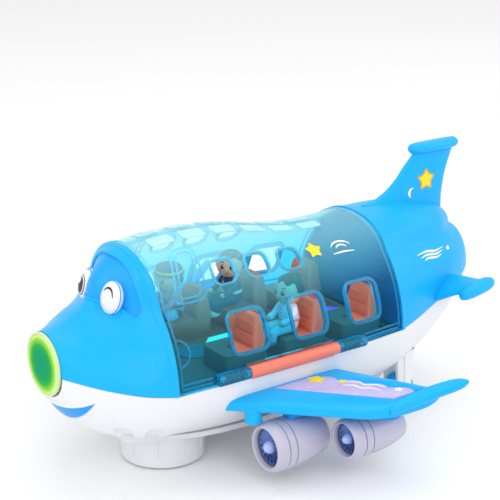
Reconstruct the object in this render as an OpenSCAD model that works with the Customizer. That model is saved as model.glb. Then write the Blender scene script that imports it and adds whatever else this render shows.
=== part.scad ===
// Toy airliner: a smiling nose, a cabin under two hinged roof doors, lit wings and a turning drive turret.
// X runs from tail to nose, Y to port and Z up. The origin is on the floor under the middle.

/* [Fuselage] */
// Overall length from the nose lamp to the tail end
body_len = 307; // [300:1:314]
// Nose ring, ahead of the middle
front_x = 100; // [97:0.5:103]
// Tail ring, behind the middle
rear_x = 62.5; // [60:0.5:65]
// Height of the sill, where the hull and the shells part
sill_z = 61; // [59:0.5:64]
// Height of the base plate's top face
base_z = 23.5; // [22:0.5:25]
// Width at the nose ring
front_w = 112; // [108:1:116]
// Width amidships
waist_w = 115; // [112:1:118]
// Width at the tail ring
tail_w = 103; // [100:1:106]
// Height of the roof at the nose ring, above the sill
roof_h = 71.5; // [70:0.5:78]
// Height of the roof's low saddle, above the sill
saddle_h = 61; // [59:0.5:63]
// Height of the roof at the tail ring, above the sill
tail_h = 63.5; // [61:0.5:66]
// Wall of the hull and of the blue shells
shell_wall = 2.2; // [1.8:0.1:2.8]
// Width of the raised rims at the two rings
rim_w = 3; // [2:0.5:4]
// Height of the raised rims
rim_h = 0.8; // [0.4:0.1:1.2]

/* [Nose] */
// Radius of the nose lamp's lens
lamp_r = 16.5; // [15:0.5:18]
// How far the lens stands out of the nose
lamp_proud = 3; // [2.5:0.1:4]
// Half-width of an eye
eye_r = 6.4; // [6:0.1:7]
// Distance between the two round ends of an eye
eye_stretch = 6; // [4:0.5:8]
// Distance of each eye from the middle
eye_y = 13; // [12:0.5:14.5]

/* [Doors] */
// Wall of the doors
door_wall = 2; // [1.6:0.1:2.4]
// Gap between a door and what it closes against
door_gap = 0.6; // [0.4:0.1:1]
// Height of the hinge axis above the sill
hinge_rise = 4.5; // [4.2:0.1:5.5]
// How far the hinge axis lies outside the waist
hinge_out = 1; // [0.6:0.1:2]
// Radius of the hinge bar and the knuckles
hinge_r = 3.5; // [3:0.1:3.8]
// Length of the hinge bar
bar_len = 62; // [50:1:70]
// Middle of the hinge bar, ahead of the origin
bar_x = 24.5; // [20:0.5:30]
// Length of each door knuckle
knuckle_len = 20; // [14:1:24]
// Radius of the hinge pins
pin_r = 1.25; // [1:0.05:1.6]
// Radial clearance of turning fits
run_gap = 0.05; // [0.02:0.01:0.1]

/* [Cabin] */
// Height of the tray's floor below the sill
floor_drop = 3.5; // [2:0.5:6]
// Distance between seat rows
row_pitch = 42; // [40:0.5:43]
// Rear of the front seat row, ahead of the origin
row_x = 29.5; // [27:0.5:31]
// Gap between the seats and the hinge rails
seat_side_gap = 5; // [4:0.5:6]
// Width of a seat
seat_w = 25; // [22:0.5:28]
// Height of a seat's base
seat_h = 12; // [10:0.5:13]
// Height of a seat back's top above the floor
back_h = 29.5; // [27:0.5:32]
// Radius of the figures' peg holes
peg_r = 2; // [1.6:0.1:2.5]
// Width of the lit aisle panel
aisle_w = 20; // [16:1:24]

/* [Wings] */
// Overall span over the wing tips
span = 260; // [250:1:270]
// Height of the wings' upper face
wing_z = 52; // [50:0.5:53]
// Thickness of the wings
wing_t = 10; // [8:0.5:11]
// Length of the wing at its root
root_chord = 79; // [74:1:84]
// Front of the wing's root, ahead of the origin
root_x = 65.5; // [63:0.5:68]
// Sweep of the leading edge over the half span
le_sweep = 57; // [52:1:62]
// Sweep of the trailing edge over the half span
te_sweep = 29; // [24:1:34]

/* [Engines] */
// Radius of the inner cowls
inner_r = 14.5; // [13:0.5:15]
// Length of the inner cowls
inner_len = 39; // [34:1:44]
// Front of the inner cowls, ahead of the origin
inner_x = 54; // [50:1:58]
// Distance of the inner cowls from the middle
inner_y = 71; // [69:1:74]
// Radius of the outer cowls
outer_r = 12; // [11:0.5:12.5]
// Length of the outer cowls
outer_len = 40; // [34:1:44]
// How far the outer cowls' fronts lie behind the inner cowls' rear ends
cowl_back = 0; // [0:0.5:4]
// Distance of the outer cowls from the middle
outer_y = 92; // [90:1:95]
// Gap between the wings and the cowls, bridged by the pylons
pylon_h = 4; // [3:0.5:5]

/* [Drive] */
// Turret axis, ahead of the origin
turret_x = 76.5; // [74:0.5:78]
// Radius of the drive turret
turret_r = 24.6; // [23:0.2:26]
// Radius of the drive wheels
wheel_r = 8.3; // [8:0.1:8.6]
// Width of the drive wheels
wheel_w = 6; // [5:0.2:6.4]
// Radius of the drive axle
axle_r = 1.5; // [1.2:0.1:1.8]
// Tooth module of the two gears
tooth_m = 0.8; // [0.7:0.05:0.85]
// Teeth on the drive gear
gear_teeth = 14; // [12:1:15]
// Teeth on the motor pinion
pinion_teeth = 10; // [9:1:12]
// Radius of the rear wheels
rear_wheel_r = 11.5; // [10:0.5:12.5]
// Width of the rear wheels
rear_wheel_w = 8; // [6:0.5:9]
// Distance of the rear wheels from the middle
rear_wheel_y = 32; // [29:0.5:34]
// Rear axle, behind the middle
rear_axle_x = 77.5; // [75:0.5:80]

/* [Power] */
// Diameter of a battery cell
cell_d = 14.5; // [13.5:0.1:14.5]
// Length of a battery cell
cell_len = 50.5; // [44:0.5:51]
// Middle of the battery box, behind the origin
box_x = 17.5; // [14:0.5:21]
// Travel of the power switch
switch_travel = 4; // [3:0.5:5]

/* [Hidden] */
$fn = 48;

// Clearances within the assembly
seat_gap = 0.2;
part_gap = 0.4;

// Helpers for curves
function mix(a, b, t) = a + (b - a)*t;
function unit(t) = min(1, max(0, t));
function last(list) = list[len(list) - 1];

// Smooth curve through [position, value] pairs
function rise(t, i) =
    let (a = max(0, i - 1), b = min(len(t) - 1, i + 1))
    (t[b][1] - t[a][1])/(t[b][0] - t[a][0]);
function span_of(t, x, i = 0) = i >= len(t) - 2 || x < t[i + 1][0] ? i : span_of(t, x, i + 1);
function curve(t, x) =
    let (
        i = span_of(t, x),
        w = t[i + 1][0] - t[i][0],
        s = unit((x - t[i][0])/w),
        m0 = rise(t, i)*w,
        m1 = rise(t, i + 1)*w
    )
    t[i][1]*(1 + 2*s)*(1 - s)*(1 - s) + m0*s*(1 - s)*(1 - s)
    + t[i + 1][1]*s*s*(3 - 2*s) - m1*s*s*(1 - s);

// Smooth blend of two radii, the larger one winning
function blend_max(a, b, k) =
    let (h = unit(0.5 + 0.5*(a - b)/k))
    mix(b, a, h) + k*h*(1 - h);

// Points of a rectangle with round corners, about its middle
function round_rect(w, h, r, n = 5) = [
    for (q = [0:3])
        for (i = [0:n])
            let (a = 90*q + 90*i/n, sx = q == 0 || q == 3 ? 1 : -1, sy = q < 2 ? 1 : -1)
            [sx*(w/2 - r) + r*cos(a), sy*(h/2 - r) + r*sin(a)]
];

// Lengthwise places
nose_end = body_len/2 - lamp_proud;
tail_end = -body_len/2;
nose_len = nose_end - front_x;
cabin_len = front_x + rear_x;
tail_len = -rear_x - tail_end;
function nose_t(x) = (x - front_x)/nose_len;
function cabin_t(x) = (x + rear_x)/cabin_len;
function tail_t(x) = (-rear_x - x)/tail_len;

// Heights
floor_z = sill_z - floor_drop;
hinge_z = sill_z + hinge_rise;
hinge_y = waist_w/2 + hinge_out;
hull_depth = sill_z - base_z;
nose_rise = 10;
lamp_lift = 3;
lamp_z = sill_z + nose_rise + lamp_lift;
lobe_h = 44;
flank_h = 62;
front_flank = 60;
cup_wall = 2;
tail_rise = 18;

// Parting line between the hull and the shells, above the sill
tail_parting = [[0, 0], [0.33, 5], [0.64, 11], [0.95, 17], [1, tail_rise]];
function parting_z(x) =
    sill_z + (x > front_x ? nose_rise*nose_t(x) : x < -rear_x ? curve(tail_parting, tail_t(x)) : 0);

// Half-width at the parting line
nose_width = [[0, 1], [0.2, 0.98], [0.39, 0.93], [0.65, 0.755], [0.8, 0.6], [0.9, 0.47]];
cabin_width = [[0, tail_w/2], [0.35, waist_w/2 - 1], [0.6, waist_w/2], [1, front_w/2]];
tail_width = [
    [0, 1], [0.17, 0.92], [0.33, 0.825], [0.53, 0.71], [0.69, 0.6], [0.84, 0.455], [0.95, 0.29], [1, 0.14]
];
function half_w(x) =
    x > front_x ? front_w/2*curve(concat(nose_width, [[1, 2*(lamp_r + cup_wall)/front_w]]), nose_t(x))
    : x < -rear_x ? tail_w/2*curve(tail_width, tail_t(x))
    : curve(cabin_width, cabin_t(x));

// Height of the lower lobe above the parting line
nose_flank = [
    [0, front_flank], [0.1, 52.5], [0.165, 48], [0.23, 44.5], [0.34, 41],
    [0.48, 37], [0.6, 32.5], [0.7, 28.3], [0.85, 23.8], [0.94, 22]
];
cabin_flank = [[0, flank_h], [0.7, flank_h], [1, front_flank]];
tail_flank = [[0, flank_h], [0.33, 53], [0.64, 41], [0.84, 29], [0.92, 24], [0.97, 17], [1, 9]];
function flank(x) =
    x > front_x ? curve(concat(nose_flank, [[1, lamp_r + cup_wall + lamp_lift]]), nose_t(x))
    : x < -rear_x ? curve(tail_flank, tail_t(x))
    : curve(cabin_flank, cabin_t(x));

// Upper lobe: its top, its centre above the parting line and its half-width
nose_top = [
    [0, roof_h], [0.12, roof_h - 3.2], [0.21, roof_h - 7.1], [0.31, roof_h - 12.6],
    [0.39, 53], [0.44, 44.6], [0.52, 34], [0.65, 24], [1, 12]
];
cabin_top = [
    [0, tail_h], [0.12, tail_h - 2], [0.24, saddle_h], [0.375, mix(saddle_h, roof_h, 0.32)],
    [0.585, roof_h], [0.72, roof_h + 2], [0.85, roof_h + 2], [1, roof_h]
];
tail_top = [[0, tail_h], [0.33, 59], [0.64, 49], [0.76, 42.5], [0.84, 35.5], [0.87, 28], [0.92, 20], [1, 6]];
function lobe_top(x) =
    x > front_x ? curve(nose_top, nose_t(x))
    : x < -rear_x ? curve(tail_top, tail_t(x))
    : curve(cabin_top, cabin_t(x));
nose_centre = [[0, lobe_h], [0.2, 42], [0.31, 40.5], [0.39, 39], [0.44, 36], [0.52, 28], [0.65, 15], [1, 5]];
tail_centre = [[0, lobe_h], [0.33, 39], [0.64, 33], [0.76, 31], [0.84, 29.5], [0.87, 22], [0.92, 12], [1, 3]];
function lobe_mid(x) =
    x > front_x ? curve(nose_centre, nose_t(x)) : x < -rear_x ? curve(tail_centre, tail_t(x)) : lobe_h;
front_lobe = 36;
rear_lobe = 33.5;
nose_lobe = [
    [0, front_lobe], [0.1, 27.5], [0.165, 22], [0.23, 17], [0.31, 12.5],
    [0.39, 8.5], [0.44, 6], [0.52, 5], [1, 4]
];
tail_lobe = [[0, rear_lobe], [0.33, 28], [0.64, 20], [0.76, 13], [0.84, 7], [0.87, 5], [1, 3]];
function lobe_w(x) =
    x > front_x ? curve(nose_lobe, nose_t(x))
    : x < -rear_x ? curve(tail_lobe, tail_t(x))
    : mix(rear_lobe, front_lobe, cabin_t(x));
// Softness of the crease between the lobes
front_crease = 9;
rear_crease = 2;
end_crease = 4;
function crease(x) =
    x > front_x ? mix(front_crease, end_crease, unit(3*nose_t(x)))
    : x < -rear_x ? rear_crease
    : mix(rear_crease, front_crease, cabin_t(x));

// Depth of the hull below the parting line, as a share of its depth amidships
nose_keel = [
    [0, 1.01], [0.18, 1.04], [0.28, 1.03], [0.43, 0.985],
    [0.59, 0.93], [0.72, 0.85], [0.82, 0.726], [0.91, 0.562]
];
cabin_keel = [
    [0, 1.09], [0.18, 1.143], [0.67, 1.143], [0.81, 1.107], [0.89, 1.065], [0.94, 1.035], [1, 1.01]
];
tail_keel = [
    [0, 1.09], [0.22, 1.09], [0.37, 1.03], [0.53, 0.9], [0.64, 0.79],
    [0.74, 0.63], [0.84, 0.44], [0.95, 0.2], [1, 0.11]
];
function keel(x) = hull_depth*(
    x > front_x ? curve(concat(nose_keel, [[1, (lamp_r + cup_wall - lamp_lift)/hull_depth]]), nose_t(x))
    : x < -rear_x ? curve(tail_keel, tail_t(x))
    : curve(cabin_keel, cabin_t(x)));
function bottom_power(x) = x > front_x ? mix(2.3, 2, nose_t(x)) : x < -rear_x ? mix(2.3, 2, tail_t(x)) : 2.3;

// Radius of the body's section at x, seen from the parting line's middle at angle a above the level
function lobe_r(x, a) =
    let (
        d = lobe_mid(x),
        h = lobe_top(x) - d,
        w = lobe_w(x),
        q = pow(cos(a)/w, 2) + pow(sin(a)/h, 2),
        p = sin(a)*d/h/h,
        e = p*p - q*(d*d/h/h - 1)
    )
    (p + sign(e)*sqrt(abs(e)))/q;
nose_power = [[0, 2], [0.2, 1.72], [0.4, 1.5], [0.75, 1.55], [0.9, 1.8], [1, 2]];
function flank_power(x) = x > front_x ? curve(nose_power, nose_t(x)) : 2;
function section_r(x, a) =
    a >= 0
    ? let (
          n = flank_power(x),
          low = pow(pow(abs(cos(a))/half_w(x), n) + pow(sin(a)/flank(x), n), -1/n)
      )
      blend_max(low, lobe_r(x, a), crease(x))
    : let (n = bottom_power(x))
      pow(pow(abs(cos(a))/half_w(x), n) + pow(abs(sin(a))/keel(x), n), -1/n);
function skin_pt(x, a, off = 0) =
    let (r = section_r(x, a) + off)
    [x, r*cos(a), parting_z(x) + r*sin(a)];

// Half-width of the hull's outside at height z
function hull_y(x, z) =
    let (n = bottom_power(x), s = (parting_z(x) - z)/keel(x))
    s >= 1 ? 0 : half_w(x)*pow(1 - pow(max(0, s), n), 1/n);
// Height of the hull's outside at distance y from the middle
function hull_z(x, y) =
    let (n = bottom_power(x))
    parting_z(x) - keel(x)*pow(1 - pow(min(1, y/half_w(x)), n), 1/n);

// Closed solid between two grids of points, with an optional pointed end on the outside and the inside
function quad(a, b, c, d) = [[a, b, c], [a, c, d]];
module grid_solid(outer, inner, tip = []) {
    rows = len(outer);
    cols = len(outer[0]);
    half = rows*cols;
    end = (rows - 1)*cols;
    points = concat([for (r = outer) each r], [for (r = inner) each r], tip);
    skins = [
        for (k = [0:rows - 2])
            for (i = [0:cols - 2])
                let (a = k*cols + i, b = a + cols)
                each concat(quad(a, a + 1, b + 1, b), quad(half + a, half + b, half + b + 1, half + a + 1))
    ];
    edges = [
        for (k = [0:rows - 2])
            let (a = k*cols, b = a + cols, c = a + cols - 1, d = c + cols)
            each concat(quad(a, b, half + b, half + a), quad(c, half + c, half + d, d))
    ];
    front = [for (i = [0:cols - 2]) each quad(i, half + i, half + i + 1, i + 1)];
    open_end = [for (i = [0:cols - 2]) each quad(end + i, end + i + 1, half + end + i + 1, half + end + i)];
    t = 2*half;
    last_col = cols - 1;
    closed_end = concat(
        [for (i = [0:cols - 2]) [end + i, end + i + 1, t]],
        [for (i = [0:cols - 2]) [half + end + i, t + 1, half + end + i + 1]],
        quad(end, t, t + 1, half + end),
        quad(end + last_col, half + end + last_col, t + 1, t)
    );
    polyhedron(points, concat(skins, edges, front, len(tip) > 0 ? closed_end : open_end), convexity = 10);
}

// Closed solid through rings of points, with a fan over each end
module ring_solid(rings) {
    rows = len(rings);
    n = len(rings[0]);
    middle = function (r) [for (j = [0:2]) [for (p = r) p[j]]*[for (p = r) 1]/len(r)];
    points = concat([for (r = rings) each r], [middle(rings[0]), middle(last(rings))]);
    sides = [
        for (k = [0:rows - 2])
            for (i = [0:n - 1])
                let (a = k*n + i, b = k*n + (i + 1)%n)
                each quad(a, a + n, b + n, b)
    ];
    caps = [
        for (i = [0:n - 1])
            let (j = (i + 1)%n)
            each [[i, j, rows*n], [(rows - 1)*n + j, (rows - 1)*n + i, rows*n + 1]]
    ];
    polyhedron(points, concat(sides, caps), convexity = 10);
}

// Both sides of the aircraft
module starboard() {
    mirror([0, 1, 0])
        children();
}

// Cylinder along X or Y between two places
module rod_x(x0, x1, r, y = 0, z = 0) {
    translate([x0, y, z])
        rotate([0, 90, 0])
            cylinder(h = x1 - x0, r = r);
}
module rod_y(y0, y1, r, x = 0, z = 0) {
    translate([x, y0, z])
        rotate([-90, 0, 0])
            cylinder(h = y1 - y0, r = r);
}
module block(low, high) {
    translate(low)
        cube(high - low);
}

// Capsule between two points
module capsule(a, b, r) {
    d = b - a;
    len_ab = norm(d);
    translate(a)
        rotate([0, acos(d[2]/len_ab), atan2(d[1], d[0])])
            rotate_extrude()
                polygon(concat(
                    [for (i = [0:6]) let (t = -90 + 15*i) [r*cos(t), r*sin(t)]],
                    [for (i = [0:6]) let (t = 15*i) [r*cos(t), len_ab + r*sin(t)]]
                ));
}

// Stations along the body
nose_steps = [0, 0.1, 0.18, 0.26, 0.33, 0.4, 0.46, 0.52, 0.58, 0.66, 0.75, 0.84, 0.92, 1];
nose_rows = concat(
    [front_x, front_x + rim_w],
    [for (t = nose_steps) if (t*nose_len > rim_w + 1) front_x + t*nose_len]
);
tail_steps = [0, 0.12, 0.24, 0.36, 0.48, 0.6, 0.7, 0.77, 0.83, 0.87, 0.92, 0.97, 1];
tail_rows = concat(
    [-rear_x, -rear_x - rim_w],
    [for (t = tail_steps) if (t*tail_len > rim_w + 1) -rear_x - t*tail_len]
);
cabin_rows = [for (i = [0:9]) mix(front_x, -rear_x, i/9)];
// Station of the inside of the shell, so that the tail's end has a wall too
function inside_x(x) = x > -rear_x ? x : -rear_x + (x + rear_x)*(tail_len - shell_wall)/tail_len;
seam = 0.3;
arch = [for (i = [0:24]) mix(seam, 180 - seam, i/24)];

// Raised rim at a ring: full height over its width, nothing beyond
function rim(x) =
    let (d = x > 0 ? x - front_x : -rear_x - x)
    d >= 0 && d <= rim_w + 0.01 ? rim_h : 0;

module nose_shell() {
    color("DodgerBlue")
        difference() {
            grid_solid(
                [for (x = nose_rows) [for (a = arch) skin_pt(x, 180 - a, rim(x))]],
                [for (x = nose_rows) [for (a = arch) skin_pt(x, 180 - a, -shell_wall)]]
            );
            screen_prism(seat_gap);
            for (s = [-1, 1])
                eye_place(s)
                    eye_plug(eye_r + seat_gap, 3*eye_depth);
        }
}

// Windscreen: the wrap-round front of the cockpit, set a little below the shell
screen_in = 1;
screen_from = 0.08;
screen_to = 0.5;
screen_side = [[0, 48.3], [28.5, 38.3], [30.5, 40], [26.5, 50], [19.5, 61], [16, 64], [9, 67.5], [0, 68.5]];
module screen_prism(grow) {
    side = [for (p = screen_side) [p[0], sill_z + p[1]]];
    back = [for (i = [2:len(side) - 1]) let (p = side[len(side) - i]) [-p[0], p[1]]];
    translate([front_x + 0.02*nose_len, 0, 0])
        rotate([90, 0, 90])
            linear_extrude(nose_len)
                offset(delta = grow)
                    polygon(concat(side, back));
}
module windscreen() {
    rows = [for (i = [0:12]) front_x + nose_len*mix(screen_from, screen_to, i/12)];
    color("RoyalBlue")
        difference() {
            intersection() {
                grid_solid(
                    [for (x = rows) [for (a = arch) skin_pt(x, 180 - a, -screen_in)]],
                    [for (x = rows) [for (a = arch) skin_pt(x, 180 - a, -screen_in - shell_wall)]]
                );
                screen_prism(0);
            }
            for (s = [-1, 1])
                eye_place(s)
                    eye_plug(eye_r + seat_gap, 3*eye_depth);
        }
}

// Eyes: domed plugs through the windscreen, facing forwards and up
eye_z = sill_z + 47.5;
eye_pitch = 30;
eye_yaw = 28;
eye_depth = 9;
eye_proud = 3;
function eye_x() = front_x + 0.28*nose_len;
module eye_place(side) {
    translate([eye_x(), side*eye_y, eye_z])
        rotate([0, 0, side*eye_yaw])
            rotate([0, 90 - eye_pitch, 0])
                children();
}
module eye_plug(r, h) {
    translate([0, 0, -h/2])
        linear_extrude(h)
            polygon(concat(
                [for (i = [0:12]) let (a = 90 - 15*i) [eye_stretch/2 + r*cos(a), r*sin(a)]],
                [for (i = [0:12]) let (a = -90 - 15*i) [-eye_stretch/2 + r*cos(a), r*sin(a)]]
            ));
}
module eye(side) {
    dome = 18;
    color("White")
        intersection() {
            eye_place(side)
                eye_plug(eye_r, 2*eye_depth);
            eye_place(side)
                translate([0, 0, eye_proud - dome])
                    sphere(r = dome, $fn = 64);
        }
}

// Mouth: a thin crescent on the chin
mouth_z = sill_z - 1.3;
mouth_half = 33.7;
lip_sag = [8.7, 17.4];
mouth_proud = [0.1, 0.7];
function lip_r(sag) = (mouth_half*mouth_half + sag*sag)/(2*sag);
module lip(sag) {
    translate([0, mouth_z - sag + lip_r(sag)])
        circle(r = lip_r(sag), $fn = 180);
}
module mouth_insert() {
    rows = [for (i = [0:12]) front_x + nose_len*mix(0.5, 1, i/12)];
    low = [for (i = [0:24]) mix(-8, -172, i/24)];
    color("DodgerBlue")
        intersection() {
            grid_solid(
                [for (x = rows) [for (a = low) skin_pt(x, a, mouth_proud[1])]],
                [for (x = rows) [for (a = low) skin_pt(x, a, mouth_proud[0])]]
            );
            translate([front_x, 0, 0])
                rotate([90, 0, 90])
                    linear_extrude(nose_len)
                        difference() {
                            lip(lip_sag[1]);
                            lip(lip_sag[0]);
                        }
        }
}

// Lamp cup closes the nose and carries the lens
cup_deep = 14;
cup_flange = 1;
cup_r = lamp_r + cup_wall - 0.5;
spigot_r = cup_r - shell_wall;
cup_straight = 4;
cup_taper = 6;
lens_edge = 0.8;
module lamp_cup() {
    color("WhiteSmoke")
        translate([nose_end, 0, lamp_z])
            rotate([0, 90, 0])
                rotate_extrude()
                    polygon([
                        [0, -cup_deep], [spigot_r - cup_taper, -cup_deep],
                        [spigot_r, -cup_straight], [spigot_r, part_gap],
                        [cup_r, part_gap], [cup_r, cup_flange + 1], [lamp_r + seat_gap, cup_flange + 1],
                        [lamp_r + seat_gap, cup_flange], [spigot_r - cup_wall, cup_flange],
                        [spigot_r - cup_taper - cup_wall, cup_wall - cup_deep], [0, cup_wall - cup_deep]
                    ]);
}
module nose_lamp() {
    color("LimeGreen")
        translate([nose_end, 0, lamp_z])
            rotate([0, 90, 0])
                rotate_extrude()
                    polygon(concat(
                        [[0, cup_flange], [lamp_r, cup_flange]],
                        [
                            for (i = [0:8])
                                let (a = 90*i/8, low = cup_flange + lens_edge)
                                [lamp_r*cos(a), low + (lamp_proud - low)*sin(a)]
                        ]
                    ));
}

// Lower hull: the white tub, open on top and cut level for the base plate
leg_gap = 0.5;
leg_w = 2.6;
leg_half = rear_wheel_w/2 + leg_gap + leg_w;
leg_len = 14;
leg_r = 5;
leg_top = hull_z(-rear_axle_x - leg_len/2, rear_wheel_y + leg_half) + shell_wall/2;
rear_pin_r = 1.5;
edge_h = 4;
belly = [for (i = [0:24]) mix(-180, 0, i/24)];
module rear_leg(side) {
    for (d = [-1, 1])
        translate([-rear_axle_x, side*rear_wheel_y + d*(rear_wheel_w/2 + leg_gap + leg_w/2), 0])
            rotate([90, 0, 0])
                linear_extrude(leg_w, center = true)
                    polygon(concat(
                        [[leg_len/2, leg_top], [-leg_len/2, leg_top]],
                        [
                            for (i = [0:8])
                                let (a = 180 + 180*i/8)
                                [leg_r*cos(a), rear_wheel_r + leg_r*sin(a)]
                        ]
                    ));
    block(
        [-rear_axle_x - leg_len/2, side*rear_wheel_y - leg_half, leg_top - leg_w],
        [-rear_axle_x + leg_len/2, side*rear_wheel_y + leg_half, leg_top]
    );
}
module lower_hull() {
    rows = concat(
        [for (i = [1:len(nose_rows)]) nose_rows[len(nose_rows) - i]],
        [for (i = [1:len(cabin_rows) - 2]) cabin_rows[i]],
        tail_rows
    );
    end_x = last(rows);
    inner_end = inside_x(end_x);
    color("White")
        difference() {
            union() {
                difference() {
                    grid_solid(
                        [for (x = rows) [for (a = belly) skin_pt(x, a)]],
                        [for (x = rows) [for (a = belly) skin_pt(inside_x(x), a, -shell_wall)]],
                        [[end_x, 0, parting_z(end_x)], [inner_end, 0, parting_z(inner_end)]]
                    );
                    block([-body_len, -span, -base_z], [body_len, span, base_z]);
                    translate([0, 0, base_z - 1])
                        linear_extrude(edge_h + 1)
                            offset(delta = -flange - shell_wall)
                                base_outline();
                }
                for (s = [-1, 1])
                    rear_leg(s);
            }
            for (s = [-1, 1])
                rod_y(s*rear_wheel_y - leg_half - 1, s*rear_wheel_y + leg_half + 1,
                    rear_pin_r + run_gap, -rear_axle_x, rear_wheel_r);
        }
}

// Base plate: closes the hull below, with a flange all round and the battery compartment
base_t = 3;
flange = 1.5;
base_front = front_x + 0.2*nose_len;
base_rear = -rear_x - 0.24*tail_len;
base_steps = 20;
screw_r = 1.4;
screw_head = 3;
head_t = 1.5;
posts = [[52, 25.5], [-56.5, 19]];
neck_r = 9;
box_wall = 2;
cover_len = cell_len + 8;
cover_w = 3*cell_d + 6;
box_h = cell_d + 1;
box_lip = 1;
switch_x = 36;
knob_len = 6;
knob_w = 6;
function base_edge(x) = max(1, hull_y(x, base_z + 1) + flange);
function base_x(i) = mix(base_front, base_rear, (1 - cos(180*i/base_steps))/2);
module base_outline() {
    side = [for (i = [0:base_steps]) let (x = base_x(i)) [x, base_edge(x)]];
    polygon(concat(side, [for (i = [0:base_steps]) let (p = side[base_steps - i]) [p[0], -p[1]]]));
}
module battery_space(grow, low, high) {
    block(
        [-box_x - cover_len/2 - grow, -cover_w/2 - grow, low],
        [-box_x + cover_len/2 + grow, cover_w/2 + grow, high]
    );
}
module base_plate() {
    slot = (knob_len + switch_travel)/2 + part_gap;
    color("White")
        difference() {
            union() {
                translate([0, 0, base_z - base_t])
                    linear_extrude(base_t)
                        base_outline();
                battery_space(box_wall, base_z - base_t, base_z + box_h + box_wall);
            }
            battery_space(-box_lip, base_z, base_z + box_h);
            battery_space(seat_gap, 0, base_z);
            translate([turret_x, 0, 0])
                cylinder(h = base_z + 1, r = neck_r + run_gap);
            block(
                [switch_x - slot, -knob_w/2 - part_gap, 0],
                [switch_x + slot, knob_w/2 + part_gap, base_z + 1]
            );
            for (p = posts, s = [-1, 1])
                translate([p[0], s*p[1], 0]) {
                    cylinder(h = base_z + 1, r = screw_r + run_gap);
                    cylinder(h = base_z - base_t + head_t, r = screw_head + seat_gap);
                }
        }
}
module screws() {
    color("Silver")
        for (p = posts, s = [-1, 1])
            translate([p[0], s*p[1], base_z - base_t]) {
                cylinder(h = head_t, r = screw_head);
                cylinder(h = base_t + post_bore - 1, r = screw_r);
            }
}

// Tail: shell, fin, tailplanes and the bulkhead behind the last seats
module tail_shell() {
    end_x = last(tail_rows);
    inner_end = inside_x(end_x);
    color("DodgerBlue")
        grid_solid(
            [for (x = tail_rows) [for (a = arch) skin_pt(x, a, rim(x))]],
            [for (x = tail_rows) [for (a = arch) skin_pt(inside_x(x), a, -shell_wall)]],
            [[end_x, 0, parting_z(end_x) + seam], [inner_end, 0, parting_z(inner_end) + seam]]
        );
}

// Thick skin just outside the body between two angles, for cutting what sits on it
skin_gap = 0.15;
cut_depth = 24;
module body_cutter(rows, angles) {
    grid_solid(
        [for (x = rows) [for (a = angles) skin_pt(x, a, rim(x) + skin_gap)]],
        [for (x = rows) [for (a = angles) skin_pt(x, a, -cut_depth)]]
    );
}

// Flat-sided oval ring of a wing or fin section
function oval(n, along, thick, power = 2.6) = [
    for (i = [0:n - 1])
        let (a = 360*i/n, c = cos(a), s = sin(a), e = 2/power)
        [along/2*sign(c)*pow(abs(c), e), thick/2*sign(s)*pow(abs(s), e)]
];
fin_top = sill_z + 91;
fin_cap_h = 7;
fin_cap_w = 12;
fin_t = 7;
// Places along the tail are shares of its length
fin_lead = [[0, 0.0879], [0.25, 0.2857], [0.5, 0.3956], [0.75, 0.467], [1, 0.5495]];
fin_trail = [[0, 0.8242], [0.5, 0.8516], [1, 0.9121]];
fin_cap = [0.5165, 0.9560];
fin_low = sill_z + lobe_h + 6;
fin_base = sill_z + tail_h - 2;
module tail_fin() {
    rings = [
        for (i = [0:7])
            let (
                t = i/7,
                z = mix(fin_low, fin_top, t),
                h = unit((z - fin_base)/(fin_top - fin_base)),
                a = -rear_x - tail_len*curve(fin_lead, h),
                b = -rear_x - tail_len*curve(fin_trail, h)
            )
            [for (p = oval(20, a - b, mix(fin_t + 2, fin_t - 2, t))) [(a + b)/2 + p[0], p[1], z]]
    ];
    cap_mid = -rear_x - tail_len*(fin_cap[0] + fin_cap[1])/2;
    cap_len = tail_len*(fin_cap[1] - fin_cap[0]);
    cap = [
        for (i = [0:6])
            let (s = -1 + 2*i/6, k = sqrt(1.02 - s*s))
            [
                for (p = oval(20, cap_len*(0.8 + 0.2*k), fin_cap_w*k))
                    [cap_mid + p[0], p[1], fin_top + fin_cap_h/2*(1 + s)]
            ]
    ];
    color("DodgerBlue") {
        difference() {
            ring_solid(rings);
            body_cutter(tail_rows, arch);
        }
        ring_solid(cap);
    }
}

// Tailplane stations from the root out: y, front and rear as shares of the tail, both heights
// over the sill and thickness
plane_rows = [
    [22, 0.3, 0.61, 0, 16, 9], [40, 0.39, 0.645, 9, 18.5, 8], [55, 0.46, 0.675, 16, 20.5, 4.5],
    [57, 0.445, 0.71, 15.5, 20.5, 8], [60, 0.435, 0.73, 15.5, 20.5, 9],
    [63, 0.455, 0.705, 16.5, 20, 6.5], [64.5, 0.51, 0.645, 17.5, 19, 3]
];
flank_arc = [for (i = [0:24]) mix(-60, 60, i/24)];
module tailplane() {
    rings = [
        for (r = plane_rows)
            let (a = -rear_x - tail_len*r[1], b = -rear_x - tail_len*r[2])
            [
                for (p = oval(20, a - b, r[5]))
                    [(a + b)/2 + p[0], r[0], sill_z + mix(r[4], r[3], 0.5 + p[0]/(a - b)) - p[1]]
            ]
    ];
    color("DodgerBlue")
        difference() {
            ring_solid(rings);
            body_cutter(tail_rows, flank_arc);
        }
}
bulkhead_t = 2;
bulkhead_in = 1;
bulkhead_gap = 0.6;
module rear_bulkhead() {
    x = -rear_x - bulkhead_in - bulkhead_t;
    edge = [
        for (a = arch)
            let (p = skin_pt(x, a, -shell_wall - bulkhead_gap))
            [p[1], max(p[2], sill_z + part_gap)]
    ];
    color("Teal")
        translate([x, 0, 0])
            rotate([90, 0, 90])
                linear_extrude(bulkhead_t)
                    polygon(edge);
}

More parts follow.
